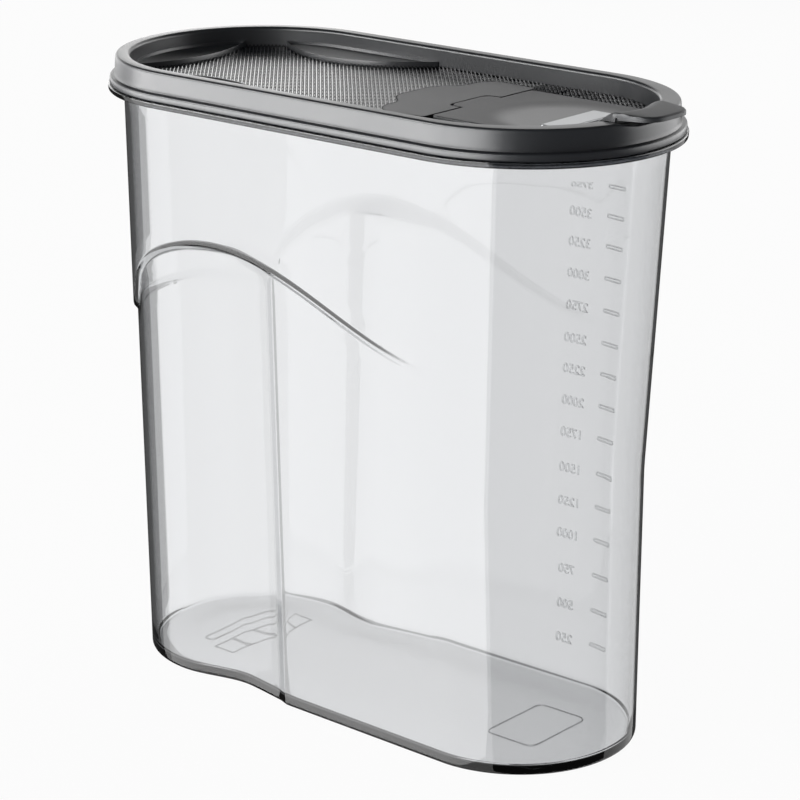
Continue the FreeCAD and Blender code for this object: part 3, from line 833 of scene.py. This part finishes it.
def rim_mesh(sizes):
    """The lid's rim as one closed ring: bead, groove, drafted outer wall, rounded top, recess wall and plug.

    Its section, half widths and heights, is carried round a stadium. The inner part of the section has its
    pouring end centre drawn in, which widens the rim there, and the top dips under the thumb tab.
    """
    seat, top, bead = sizes.seat, sizes.rim_top, sizes.bead_height
    skirt = sizes.reach - sizes.skirt_setback
    rounding, inner, bend = sizes.rim_round, sizes.rim_inner, sizes.inner_round
    recess, panel_top, panel_low = sizes.recess_half_width, sizes.panel_top, sizes.panel_low
    outer = np.concatenate([
        corner_arc(sizes.reach - BEAD_ROUND, seat + BEAD_ROUND, BEAD_ROUND, -90, 0, 5),
        corner_arc(sizes.reach - BEAD_ROUND - BEAD_DRAFT, seat + bead - BEAD_ROUND, BEAD_ROUND, 0, 90, 5),
        corner_arc(skirt + GROOVE, seat + bead + GROOVE, GROOVE, 270, 190, 4),
        between((skirt, seat + bead + GROOVE), (sizes.rim_half_width, top - rounding)),
        corner_arc(sizes.rim_half_width - rounding, top - rounding, rounding, 0, 90, 7),
    ])
    within = np.concatenate([
        corner_arc(inner + bend, top - bend, bend, 90, 180, 10),
        between((inner, top - bend), (recess, panel_top)),
        [[recess, panel_top], [PANEL_SEAT, panel_top], [PANEL_SEAT, panel_low]],
    ])
    under = np.array([
        [recess, panel_low],
        [recess, sizes.plug_low],
        [sizes.plug_half_width, sizes.plug_low],
        [sizes.plug_half_width, sizes.channel_roof],
        [sizes.channel_outer, sizes.channel_roof],
        [sizes.channel_outer, seat],
    ])
    section = np.concatenate([outer, within, under])
    drawn_in = np.repeat([0.0, sizes.rim_pour_extra, 0.0], [len(outer), len(within), len(under)])[:, None]
    columns = even_columns(48, 96)
    x, y = stadium_points(columns, section[:, :1], sizes.end_centre, sizes.end_centre - drawn_in)
    z = section[:, 1:] + 0.0 * x
    dip = rim_dip(sizes, y) * (x > sizes.end_centre)
    share = (z - sizes.channel_roof) / (top - sizes.channel_roof)
    z = z - dip * np.maximum(share, 0.0)
    return grid_mesh("lid_rim", np.stack([x, y, z], axis=-1), wrap_rows=True)


def recess_outline(sizes, x, margin):
    """Half width of the recess at a place along the lid, less a margin."""
    pour_centre = sizes.end_centre - sizes.rim_pour_extra
    beyond = np.maximum(x - pour_centre, -sizes.end_centre - x)
    return round_end(sizes.recess_half_width - margin, beyond)


def turned(first, second, degrees):
    """The two places of a plan point after a turn about the middle, anticlockwise from above."""
    turn = math.radians(degrees)
    return (
        first * math.cos(turn) - second * math.sin(turn),
        first * math.sin(turn) + second * math.cos(turn),
    )


def panel_texture(sizes, x, y):
    """Height of the panel's texture: slanting flat-topped ribs, with low bars in the gaps between them."""
    across, along = turned(x, y, -sizes.rib_angle)
    rib = np.interp((across / sizes.rib_pitch) % 1.0, RIB_PHASES, RIB_SHAPE)
    bar = sizes.bar_share * (0.5 + 0.5 * np.cos(2.0 * np.pi * along / sizes.bar_pitch)) ** 3
    return sizes.panel_top + sizes.rib_rise * (rib + (1.0 - rib) * bar)


def slab_mesh(name, x, y, top, low):
    """A closed slab between two heights over the same grid of places."""
    upper = np.stack([x, y, top], axis=-1)
    lower = np.stack([x, y, low], axis=-1)[:, ::-1]
    return grid_mesh(name, np.concatenate([upper, lower], axis=1))


def panel_strip(sizes, x, near, far, count):
    """A closed slab between two edges that run along the lid, textured on top and flat below."""
    share = np.linspace(0.0, 1.0, count)[None, :]
    y = near + (far - near) * share
    x = x + 0.0 * y
    top = panel_texture(sizes, x, y)
    top[[0, -1]] = sizes.panel_low
    return slab_mesh("strip", x, y, top, np.full_like(top, sizes.panel_low))


def panel_mesh(sizes):
    """The ribbed panel before the hinge: columns lie on the ribs' edges, and rows run along the ribs.

    Each column starts and ends where its line meets the recess's outline or the hinge, and is closed below.
    """
    line = np.linspace(-RIB_REACH, RIB_REACH, 6001)
    across = ((np.arange(*RIB_RANGE)[:, None] + RIB_PHASES[:-1]) * sizes.rib_pitch).ravel()[None, :]
    x, y = turned(across, line[:, None], sizes.rib_angle)
    inside = (np.abs(y) < recess_outline(sizes, x, PANEL_MARGIN)) & (x < PANEL_HINGE)
    kept = inside.any(axis=0)
    inside, across = inside[:, kept], across[:, kept]
    first = line[inside.argmax(axis=0)]
    last = line[len(line) - 1 - inside[::-1].argmax(axis=0)]
    along = first + (last - first) * np.linspace(0.0, 1.0, 190)[:, None]
    along = np.concatenate([along[:1], along, along[-1:]])
    x, y = turned(across, along, sizes.rib_angle)
    z = panel_texture(sizes, x, y)
    z[[0, -1]] = sizes.panel_low
    points = np.stack([x, y, z], axis=-1)
    return grid_mesh("lid_panel", points, wrap_rows=True, wrap_columns=False)


def panel_sides_mesh(sizes):
    """The panel beyond the hinge: a ribbed strip on each side of the opening, and the bar under the slot."""
    pour_centre = sizes.end_centre - sizes.rim_pour_extra
    last = pour_centre + sizes.recess_half_width - PANEL_END_GAP
    x = np.arange(PANEL_HINGE, last, sizes.rib_pitch / 4.0)[:, None]
    inner = np.minimum(sizes.opening_half_width, round_end(sizes.opening_radius, x - pour_centre))
    inner = np.where(x < sizes.opening_start, HINGE_SLOT, inner)
    outer = recess_outline(sizes, x, PANEL_MARGIN)
    near = panel_strip(sizes, x, -outer, -inner, 64)
    far = panel_strip(sizes, x, inner, outer, 64)
    bar_x = np.linspace(HINGE_BAR_START, sizes.opening_start, 9)[:, None]
    bar_edge = np.full_like(bar_x, HINGE_BAR_HALF)
    bar = panel_strip(sizes, bar_x, -bar_edge, bar_edge, 24)
    return joined("lid_panel_sides", [near, far, bar])


def carried(outline, section):
    """Points of a section, insets and heights, carried round a closed outline that goes anticlockwise."""
    ahead = np.roll(outline, -1, axis=0) - np.roll(outline, 1, axis=0)
    inward = np.stack([-ahead[:, 1], ahead[:, 0]], axis=1)
    inward = inward / np.linalg.norm(inward, axis=1, keepdims=True)
    plan = outline[None] + section[:, 0][:, None, None] * inward[None]
    height = np.broadcast_to(section[:, 1][:, None, None], plan.shape[:2] + (1,))
    return np.concatenate([plan, height], axis=-1)


def plate_mesh(name, outline, section):
    """A plate with a moulded edge: a section carried round an outline, and capped above and below.

    The section goes up the outside and ends on the flat top.
    """
    points = carried(outline, section)
    rows, count = points.shape[:2]
    cap = (rows - 1) * count + np.arange(count)
    base = np.arange(count)[::-1]
    faces = [grid_faces(rows, count, False, True), cap[None], base[None]]
    return new_mesh(name, points.reshape(-1, 3), faces)


def rounded_path(corners, radii, count=8):
    """Closed outline with rounded corners: each corner becomes a quadratic bend between its two sides."""
    corners = np.asarray(corners, float)
    radii = np.asarray(radii, float)[:, None]
    before = np.roll(corners, 1, axis=0) - corners
    after = np.roll(corners, -1, axis=0) - corners
    start = corners + radii * before / np.linalg.norm(before, axis=1, keepdims=True)
    end = corners + radii * after / np.linalg.norm(after, axis=1, keepdims=True)
    t = np.linspace(0.0, 1.0, count)[None, :, None]
    bends = (1 - t) ** 2 * start[:, None] + 2 * t * (1 - t) * corners[:, None] + t ** 2 * end[:, None]
    return bends.reshape(-1, 2)


def moulded_edge(low, top, radius, count=6):
    """Section of a plate's edge: up the side and over a rounded top edge, with one flat row inside it."""
    bend = corner_arc(radius, top - radius, -radius, 0, -90, count)
    return np.concatenate([[[0.0, low]], bend, [[radius + EDGE_FLAT, top]]])


def platform_mesh(sizes):
    """The smooth platform before the hinge: a wavy outline with a notch for the hinge tongue."""
    corners = np.array([
        [0.0434, -0.0121], [0.0371, -0.0121], [0.0371, 0.0121], [0.0434, 0.0121], [0.0434, 0.0315],
        [0.0262, 0.0325], [0.0218, 0.0270], [0.0218, 0.0180], [0.0135, 0.0110], [0.0135, -0.0110],
        [0.0218, -0.0180], [0.0218, -0.0270], [0.0262, -0.0325], [0.0434, -0.0315],
    ])
    radii = np.array([0.6, 4.6, 4.6, 0.6, 1.0, 3.4, 3.6, 4.2, 5.4, 5.4, 4.2, 3.6, 3.4, 1.0]) / 1000.0
    outline = rounded_path(corners[::-1], radii[::-1])
    return plate_mesh("lid_platform", outline, moulded_edge(sizes.panel_low, sizes.raised_top, EDGE_ROUND))


def pad_mesh(sizes, wall, lip, outward):
    """A lens pad between a curve on the recess wall and its lip's curve, with a shallow dish between them.

    The dish's section is blended from wall to lip, and the lip's outer face falls to the panel as a drafted
    step. Shares run from the wall to the lip, and rises are shares of the lip's height over the panel.
    """
    share = np.array([
        -0.03, -0.03, 0.0, 0.015, 0.06, 0.14, 0.28, 0.48, 0.68, 0.81, 0.89, 0.94, 0.97, 0.99, 1.0,
    ])
    dish_rise = [-1.0, 1.0, 1.0, 0.56, 0.51, 0.47, 0.44, 0.43, 0.45, 0.54, 0.73, 0.9, 0.97, 1.0, 0.98]
    step = np.array([0.00004, 0.0006, 0.0006])
    step_rise = [0.92, 0.0, -1.0]
    points = wall[:, None] + share[None, :, None] * (lip - wall)[:, None]
    face = lip[:, None] + step[None, :, None] * np.asarray(outward)
    plan = np.concatenate([points, face], axis=1)
    height = sizes.panel_top + sizes.pad_rise * np.array(dish_rise + step_rise)
    height = np.broadcast_to(height[None, :, None], plan.shape[:2] + (1,))
    return grid_mesh("pad", np.concatenate([plan, height], axis=-1))


def side_pad_mesh(sizes, side):
    """A side pad: its lip is a parabola below the chord between its two tips on the wall."""
    along = np.linspace(-1.0, 1.0, 81)
    x = sizes.side_pad_x + sizes.side_pad_half_length * along
    wall = recess_outline(sizes, x, 0.0)
    chord = wall[0] + (wall[-1] - wall[0]) * 0.5 * (along + 1.0)
    lip = np.minimum(chord - sizes.side_pad_swell * (1.0 - along ** 2), wall)
    wall_curve = np.stack([x, side * wall], axis=1)
    lip_curve = np.stack([x, side * lip], axis=1)
    return pad_mesh(sizes, wall_curve, lip_curve, (0.0, -side))


def end_pad_mesh(sizes):
    """The end pad: between the round end of the recess and a parabola beyond the chord of its arc."""
    along = np.linspace(-1.0, 1.0, 81)
    half_turn = math.radians(sizes.end_pad_turn)
    radius = sizes.recess_half_width
    wall_x = -sizes.end_centre - radius * np.cos(half_turn * along)
    wall_curve = np.stack([wall_x, radius * np.sin(half_turn * along)], axis=1)
    chord_x = -sizes.end_centre - radius * math.cos(half_turn)
    lip_x = chord_x + sizes.end_pad_swell * (1.0 - along ** 2)
    lip_curve = np.stack([lip_x, radius * math.sin(half_turn) * along], axis=1)
    return pad_mesh(sizes, wall_curve, lip_curve, (1.0, 0.0))


def dish(sizes, x, y):
    """Top of the flap: flat, sunk into a shallow oval dish round the badge."""
    oval = np.sqrt(((x - DISH_CENTRE) / DISH_LENGTH) ** 2 + (y / DISH_WIDTH) ** 2)
    return sizes.plate_top - sizes.dish_depth * smooth((1.0 - oval) / DISH_SIDE)


def flap_half_width(sizes, x):
    """Half width of the flap along it: the tongue, then rounded hinge corners, sides and a round end."""
    tongue = round_end(TONGUE_ROUND, sizes.tongue_start + TONGUE_ROUND - x)
    tongue = sizes.tongue_half_width - TONGUE_ROUND + tongue
    corner = round_end(sizes.corner, sizes.plate_start + sizes.corner - x)
    end = round_end(sizes.end_radius, x - POUR_CENTRE)
    plate = np.minimum(sizes.half_width - sizes.corner + corner, end)
    return np.where(x < sizes.plate_start, tongue, plate)


def flap_plate_mesh(sizes):
    """The flap's plate: a slab of changing half width, with rounded upper edges and a dish."""
    start, end = sizes.plate_start, POUR_CENTRE + sizes.end_radius - TIP_GAP
    tongue_x = sizes.tongue_start + (start - HAIR - sizes.tongue_start) * smooth(np.linspace(0.0, 1.0, 13))
    hinge_x = np.linspace(start, start + sizes.corner, 9)
    plate_x = np.linspace(start + sizes.corner, end - END_RUN, 56)[1:]
    end_x = end - END_RUN * (1.0 - np.linspace(0.0, 1.0, 18)[1:]) ** 2
    x = np.concatenate([tongue_x[:1], tongue_x, hinge_x, plate_x, end_x, end_x[-1:]])[:, None]
    half = flap_half_width(sizes, x)
    rounding = np.minimum(EDGE_ROUND, 0.5 * half)
    bend = np.linspace(0.0, QUARTER_TURN, 6)[None, :]
    flat = np.linspace(-1.0, 1.0, 64)[None, 1:-1]
    edge_y = half - rounding * (1.0 - np.cos(bend))
    edge_drop = rounding * (1.0 - np.sin(bend))
    y = np.concatenate([-edge_y, flat * (half - rounding), edge_y[:, ::-1]], axis=1)
    drop = np.concatenate([edge_drop, 0.0 * flat * half, edge_drop[:, ::-1]], axis=1)
    top = dish(sizes, x, y) - drop
    low = np.where(x < start, sizes.hinge_z, sizes.plate_low) + 0.0 * top
    top[[0, -1]] = low[[0, -1]]
    return slab_mesh("plate", x + 0.0 * y, y, top, low)


def skirt_mesh(sizes):
    """The plug skirt under the flap: an upright wall carried round the pour opening's outline."""
    turn = np.radians(np.linspace(-SKIRT_TURN, SKIRT_TURN, 25))
    arc = SKIRT_RADIUS * np.stack([np.cos(turn), np.sin(turn)], axis=1) + [POUR_CENTRE, 0.0]
    start, bend, half = SKIRT_START, SKIRT_BEND, SKIRT_HALF
    hinge_side = [[start, half], [start, 0.0], [start, -half], [bend, -half]]
    outline = np.concatenate([hinge_side, arc, [[bend, half]]])
    low, top = sizes.skirt_low, sizes.plate_low + SKIRT_SINK
    wall, bevel = SKIRT_WALL, SKIRT_BEVEL
    section = np.array([
        [0.0, low + bevel], [0.0, top], [wall, top], [wall, low + bevel], [wall - bevel, low], [bevel, low],
    ])
    return grid_mesh("skirt", carried(outline, section), wrap_rows=True)


def barrel_mesh(sizes):
    """The hinge barrel and its stub pins: circles of stepped radius carried along the pin axis."""
    y = np.array([-14.1, -14.1, -13.9, -11.5, -11.5, -11.3, 11.3, 11.5, 11.5, 13.9, 14.1, 14.1])
    radius = np.array([0.0, 1.0, 1.2, 1.2, 1.6, 1.8, 1.8, 1.6, 1.2, 1.2, 1.0, 0.0])
    y, radius = y[:, None] / 1000.0, radius[:, None] / 1000.0
    turn = np.linspace(0.0, 2.0 * np.pi, 24, endpoint=False)[None, :]
    x = sizes.hinge_x + radius * np.cos(turn)
    z = sizes.hinge_z + radius * np.sin(turn)
    return grid_mesh("barrel", np.stack([x, y + 0.0 * x, z], axis=-1))


def tab_mesh(sizes, lid):
    """The thumb tab: a ramp off the flap, a bowed crest, and a thin lip beyond it.

    Rows run from the ramp's foot over the crest to the tip, and columns go round the section. The crest bows
    like a parabola, the lip's edge is a rounded oblong, and below the ramp the tab is solid down to the rim.
    """
    half = sizes.tab_half_width
    share = np.linspace(-1.0, 1.0, 61)[None, :]
    crest = sizes.tab_crest - TAB_BOW * share ** 2
    oblong = np.clip(1.0 - share ** 4, 0.0, 1.0) ** 0.4545
    shoulder = crest.min() + TAB_SHOULDER
    tip = np.maximum(shoulder + (sizes.tab_tip - shoulder) * oblong, crest + TAB_LEAST_LIP)
    ramp = np.linspace(0.0, 1.0, 57)[:, None]
    lip = np.array([0.04, 0.1, 0.2, 0.32, 0.45, 0.6, 0.75, 0.87, 0.94, 0.97, 0.99, 1.0])[:, None]
    x = np.concatenate([sizes.tab_start + (crest - sizes.tab_start) * ramp, crest + (tip - crest) * lip])
    foot = sizes.plate_top - TAB_SINK
    climb = smooth(ramp) ** 1.15
    fall = TAB_LIP_FALL * lip ** 1.5 + TAB_NOSE_FALL * np.maximum(lip - TAB_NOSE, 0.0) / (1.0 - TAB_NOSE)
    top = np.concatenate([
        foot + (sizes.tab_top - foot) * climb + 0.0 * share,
        sizes.tab_top - fall + 0.0 * share,
    ])
    side = np.clip((np.abs(share) - TAB_SIDE) / (1.0 - TAB_SIDE), 0.0, 1.0)
    side_fall = TAB_SIDE_FALL * (1.0 - np.sqrt(1.0 - side ** 2))
    top = top - side_fall * np.minimum(1.0, (top - foot) / TAB_SIDE_RISE)
    y = half * share + 0.0 * x
    lip_low = top - TAB_LIP
    over_rim = np.minimum(LID_HIGH.z - rim_dip(lid, y) + TAB_RIM_GAP, lip_low)
    low = np.where(x < TAB_RIM_END, over_rim, lip_low)
    low = np.where(x < TAB_SOLID_END, sizes.plate_top - TAB_SOLID_SINK, low)
    low = np.minimum(low, top - TAB_LEAST)
    x = np.concatenate([x[:1], x, x[-1:]])
    y = np.concatenate([y[:1], y, y[-1:]])
    middle = 0.5 * (top + low)
    top = np.concatenate([middle[:1], top, middle[-1:]])
    low = np.concatenate([middle[:1], low, middle[-1:]])
    return slab_mesh("flap_tab", x, y, top, low)


def badge_mesh(sizes):
    """The blank badge: a thin plate with rounded corners and a bevelled edge, in the flap's dish."""
    outline = oblong_path(sizes.badge_width, sizes.badge_length, BADGE_CORNER, (sizes.badge_x, 0.0))
    low = sizes.plate_top - sizes.dish_depth - BADGE_SINK
    return plate_mesh("flap_badge_plate", outline, moulded_edge(low, low + BADGE_THICKNESS, BADGE_BEVEL))


class CANISTER_OT_container(Operator):
    """Builds the clear container and its raised scale."""

    bl_idname = "canister.container"
    bl_label = "Container"

    def execute(self, context):
        scene = context.scene
        material = clear_finish("smoky_clear_plastic", scene.canister_finishes, 0.002)
        matt = clear_finish("matt_clear_plastic", scene.canister_finishes, 0.16)
        shell = container_mesh(scene.canister_container)
        add_piece(shell, material, "container", ("container",), sharp_angle=60.0)
        marks = scale_mesh(scene.canister_container, scene.canister_scale)
        add_piece(marks, matt, "container", outward=True)
        frames = base_frames_mesh(scene.canister_container, scene.canister_scale)
        add_piece(frames, matt, "container", outward=True)
        return {"FINISHED"}


class CANISTER_OT_lid(Operator):
    """Builds the lid: rim, textured panel, platform and pads."""

    bl_idname = "canister.lid"
    bl_label = "Lid"

    def execute(self, context):
        sizes = context.scene.canister_lid
        finishes = context.scene.canister_finishes
        material = satin_finish("satin_lid_plastic", finishes, 0.26)
        ribbed = satin_finish("ribbed_lid_plastic", finishes, 0.10)
        matt = satin_finish("matt_lid_plastic", finishes, 0.38)
        add_piece(rim_mesh(sizes), material, "lid", ("lid",), sharp_angle=50.0)
        add_piece(panel_mesh(sizes), ribbed, "lid", sharp_angle=30.0, outward=True)
        add_piece(panel_sides_mesh(sizes), ribbed, "lid", sharp_angle=30.0, outward=True)
        add_piece(platform_mesh(sizes), matt, "lid", outward=True)
        pads = joined("lid_pads", [side_pad_mesh(sizes, 1), side_pad_mesh(sizes, -1), end_pad_mesh(sizes)])
        add_piece(pads, material, "lid", sharp_angle=30.0, outward=True)
        return {"FINISHED"}


class CANISTER_OT_flap(Operator):
    """Builds the pour flap with its thumb tab and hinge, and the blank badge."""

    bl_idname = "canister.flap"
    bl_label = "Flap"

    def execute(self, context):
        sizes = context.scene.canister_flap
        finishes = context.scene.canister_finishes
        material = satin_finish("satin_flap_plastic", finishes, 0.4, dished=True)
        flap = joined("flap_plate", [flap_plate_mesh(sizes), skirt_mesh(sizes), barrel_mesh(sizes)])
        add_piece(flap, material, "flap", ("pour_flap",), outward=True)
        tab = tab_mesh(sizes, context.scene.canister_lid)
        add_piece(tab, material, "flap", sharp_angle=50.0, outward=True)
        silver = badge_finish(finishes)
        add_piece(badge_mesh(sizes), silver, "flap", ("flap_badge",), outward=True)
        return {"FINISHED"}


def floor_finish():
    """White studio floor: near white by its own colour to the camera, with the light's soft shadow on it."""
    finish = Finish(bpy.data.materials.new("studio_floor"))
    matt = finish.node("ShaderNodeBsdfDiffuse", None, {"Color": (0.85, 0.85, 0.85, 1.0)})
    white = finish.node("ShaderNodeEmission", None, {"Color": WHITE, "Strength": 1.0})
    return finish.done(finish.node("ShaderNodeMixShader", None, {0: 0.95, 1: matt, 2: white}))


def studio_world():
    """White to the camera and straight through clear plastic, with pale and dark sectors for reflections.

    The sector is the compass angle of a reflected ray, from the front towards the pouring end: a pale table
    before the canister and behind it, and dark sides. Rays through the plastic lose their white high up.
    """
    world = bpy.data.worlds.new("studio")
    bpy.context.scene.world = world
    finish = Finish(world)
    camera = finish.node("ShaderNodeLightPath", output="Is Camera Ray")
    through = finish.node("ShaderNodeLightPath", output="Is Transmission Ray")
    inside = finish.node("ShaderNodeLightPath", output="Transmission Depth") > 0.5
    diffuse = finish.node("ShaderNodeLightPath", output="Is Diffuse Ray")
    bounces = finish.node("ShaderNodeLightPath", output="Glossy Depth")
    direction = finish.node("ShaderNodeTexCoord", output="Generated")
    across, depth, height = finish.axes(direction)
    angle = across.maths("ARCTAN2", across, depth * -1.0)

    def sector(start, end):
        """1 for rays whose compass angle lies between two angles in degrees, and 0 for others."""
        return (angle > math.radians(start)) * (angle < math.radians(end))

    before = sector(-70.0, 16.0)
    beside = sector(-130.0, -60.0)
    behind = (angle > math.radians(134.0)) + (angle < math.radians(-170.0))
    below = height < 0.0
    dark, glow, ambient = 0.05, 0.1, 0.25
    reflected = dark + glow * inside + below * (0.85 * before + 0.75 * behind)
    upper = (1.0 - 0.85 * finish.fade(height, 0.1, 0.4)) * (1.0 - 0.5 * beside)
    straight = through * (bounces < 0.5)
    seen = reflected + (ambient - reflected) * diffuse
    seen = seen + (upper - seen) * straight
    level = seen + (1.0 - seen) * camera
    light = finish.node("ShaderNodeBackground", None, {"Color": WHITE, "Strength": level})
    finish.node("ShaderNodeOutputWorld", None, {"Surface": light})


def soft_box(name, angle, away, height, width, tall, power):
    """An upright rectangular area lamp that faces the canister's axis from a compass angle in degrees.

    The angle is counted from the front. The camera doesn't see the lamp, straight or through clear plastic.
    """
    lamp = bpy.data.lights.new(name, "AREA")
    lamp.shape = "RECTANGLE"
    lamp.size = width
    lamp.size_y = tall
    lamp.energy = power
    holder = bpy.data.objects.new(name, lamp)
    turn = math.radians(angle)
    place = Vector((away * math.sin(turn), -away * math.cos(turn), height))
    aim = (Vector((0.0, 0.0, height)) - place).to_track_quat("-Z", "Y")
    holder.matrix_world = Matrix.Translation(place) @ aim.to_matrix().to_4x4()
    holder.visible_camera = False
    holder.visible_transmission = False
    bpy.context.scene.collection.objects.link(holder)
    return holder


def fade_card(lamp, start, end):
    """Lets an area lamp fade along its width: dark up to the start's share, and full beyond the end's."""
    finish = Finish(lamp)
    surface = finish.node("ShaderNodeNewGeometry", output="Parametric")
    along = finish.axes(surface)[0]
    shade = finish.mix(finish.fade(along, start, end), (0.4, 0.4, 0.4, 1.0), WHITE)
    light = finish.node("ShaderNodeEmission", None, {"Color": shade, "Strength": 1.0})
    finish.node("ShaderNodeOutputLight", None, {"Surface": light})


class CANISTER_OT_stage(Operator):
    """Builds the floor, the light and the camera."""

    bl_idname = "canister.stage"
    bl_label = "Stage"

    def execute(self, context):
        scene = context.scene
        settings = scene.canister_stage
        side = np.linspace(-6.0, 6.0, 9)
        x, y = np.meshgrid(side, side)
        mesh = grid_mesh("studio_floor", np.stack([x, y, 0.0 * x - 0.0002], axis=-1), False, False)
        mesh.materials.append(floor_finish())
        floor = bpy.data.objects.new("studio_floor", mesh)
        floor.visible_glossy = False
        floor.visible_transmission = False
        floor.visible_shadow = False
        scene.collection.objects.link(floor)
        studio_world()
        rows = {
            "key_box": (-29.0, 1.25, 0.42, 2.42, 0.36, settings.key_power),
            "back_box": (180.0, 1.4, 0.75, 3.3, 0.9, settings.back_power),
            "front_card": (-29.0, 1.25, 0.51, 2.42, 0.98, settings.front_power),
            "low_card": (-33.5, 1.25, -0.42, 2.83, 0.88, settings.low_power),
            "left_card": (-107.0, 1.25, 0.31, 1.5, 0.58, settings.left_power),
            "right_card": (154.0, 1.3, 0.36, 1.89, 0.76, settings.right_power),
        }
        lamps = {name: soft_box(name, *row) for name, row in rows.items()}
        lamps["key_box"].visible_glossy = False
        fade_card(lamps["low_card"].data, 0.0, 0.6)
        for name, lamp in lamps.items():
            lamp.visible_diffuse = not name.endswith("card")
        self.add_camera(scene, settings)
        scene.view_settings.view_transform = "Standard"
        return {"FINISHED"}

    @staticmethod
    def add_camera(scene, settings):
        """Puts the camera on a sphere about its target, at the photo's azimuth and elevation."""
        azimuth, elevation = math.radians(settings.azimuth), math.radians(settings.elevation)
        back = Vector((
            math.sin(azimuth) * math.cos(elevation),
            -math.cos(azimuth) * math.cos(elevation),
            math.sin(elevation),
        ))
        lens = bpy.data.cameras.new("camera")
        lens.lens = settings.lens
        lens.sensor_width = 36.0
        lens.shift_x = settings.shift_x
        lens.shift_y = settings.shift_y
        camera = bpy.data.objects.new("camera", lens)
        place = Vector((0.0, 0.0, settings.target_height)) + settings.distance * back
        camera.matrix_world = Matrix.Translation(place) @ back.to_track_quat("Z", "Y").to_matrix().to_4x4()
        scene.collection.objects.link(camera)
        scene.camera = camera


class CANISTER_PT_panel(Panel):
    """Lists the canister's pieces in the sidebar."""

    bl_label = "Canister"
    bl_idname = "CANISTER_PT_panel"
    bl_space_type = "VIEW_3D"
    bl_region_type = "UI"
    bl_category = "Canister"

    def draw(self, context):
        for operator in OPERATORS:
            self.layout.operator(operator.bl_idname)


OPERATORS = (CANISTER_OT_container, CANISTER_OT_lid, CANISTER_OT_flap, CANISTER_OT_stage)
GROUPS = {
    "canister_container": ContainerSizes,
    "canister_scale": ScaleSizes,
    "canister_lid": LidSizes,
    "canister_flap": FlapSizes,
    "canister_finishes": Finishes,
    "canister_stage": StageSettings,
}


def register():
    """Registers the property groups, operators and panel."""
    for name, group in GROUPS.items():
        bpy.utils.register_class(group)
        setattr(bpy.types.Scene, name, PointerProperty(type=group))
    for kind in (*OPERATORS, CANISTER_PT_panel):
        bpy.utils.register_class(kind)


def unregister():
    """Removes what register added."""
    for kind in (CANISTER_PT_panel, *reversed(OPERATORS)):
        bpy.utils.unregister_class(kind)
    for name, group in GROUPS.items():
        delattr(bpy.types.Scene, name)
        bpy.utils.unregister_class(group)


def main():
    """Builds every piece in order."""
    register()
    bpy.ops.canister.container()
    bpy.ops.canister.lid()
    bpy.ops.canister.flap()
    bpy.ops.canister.stage()


if __name__ == "__main__":
    main()
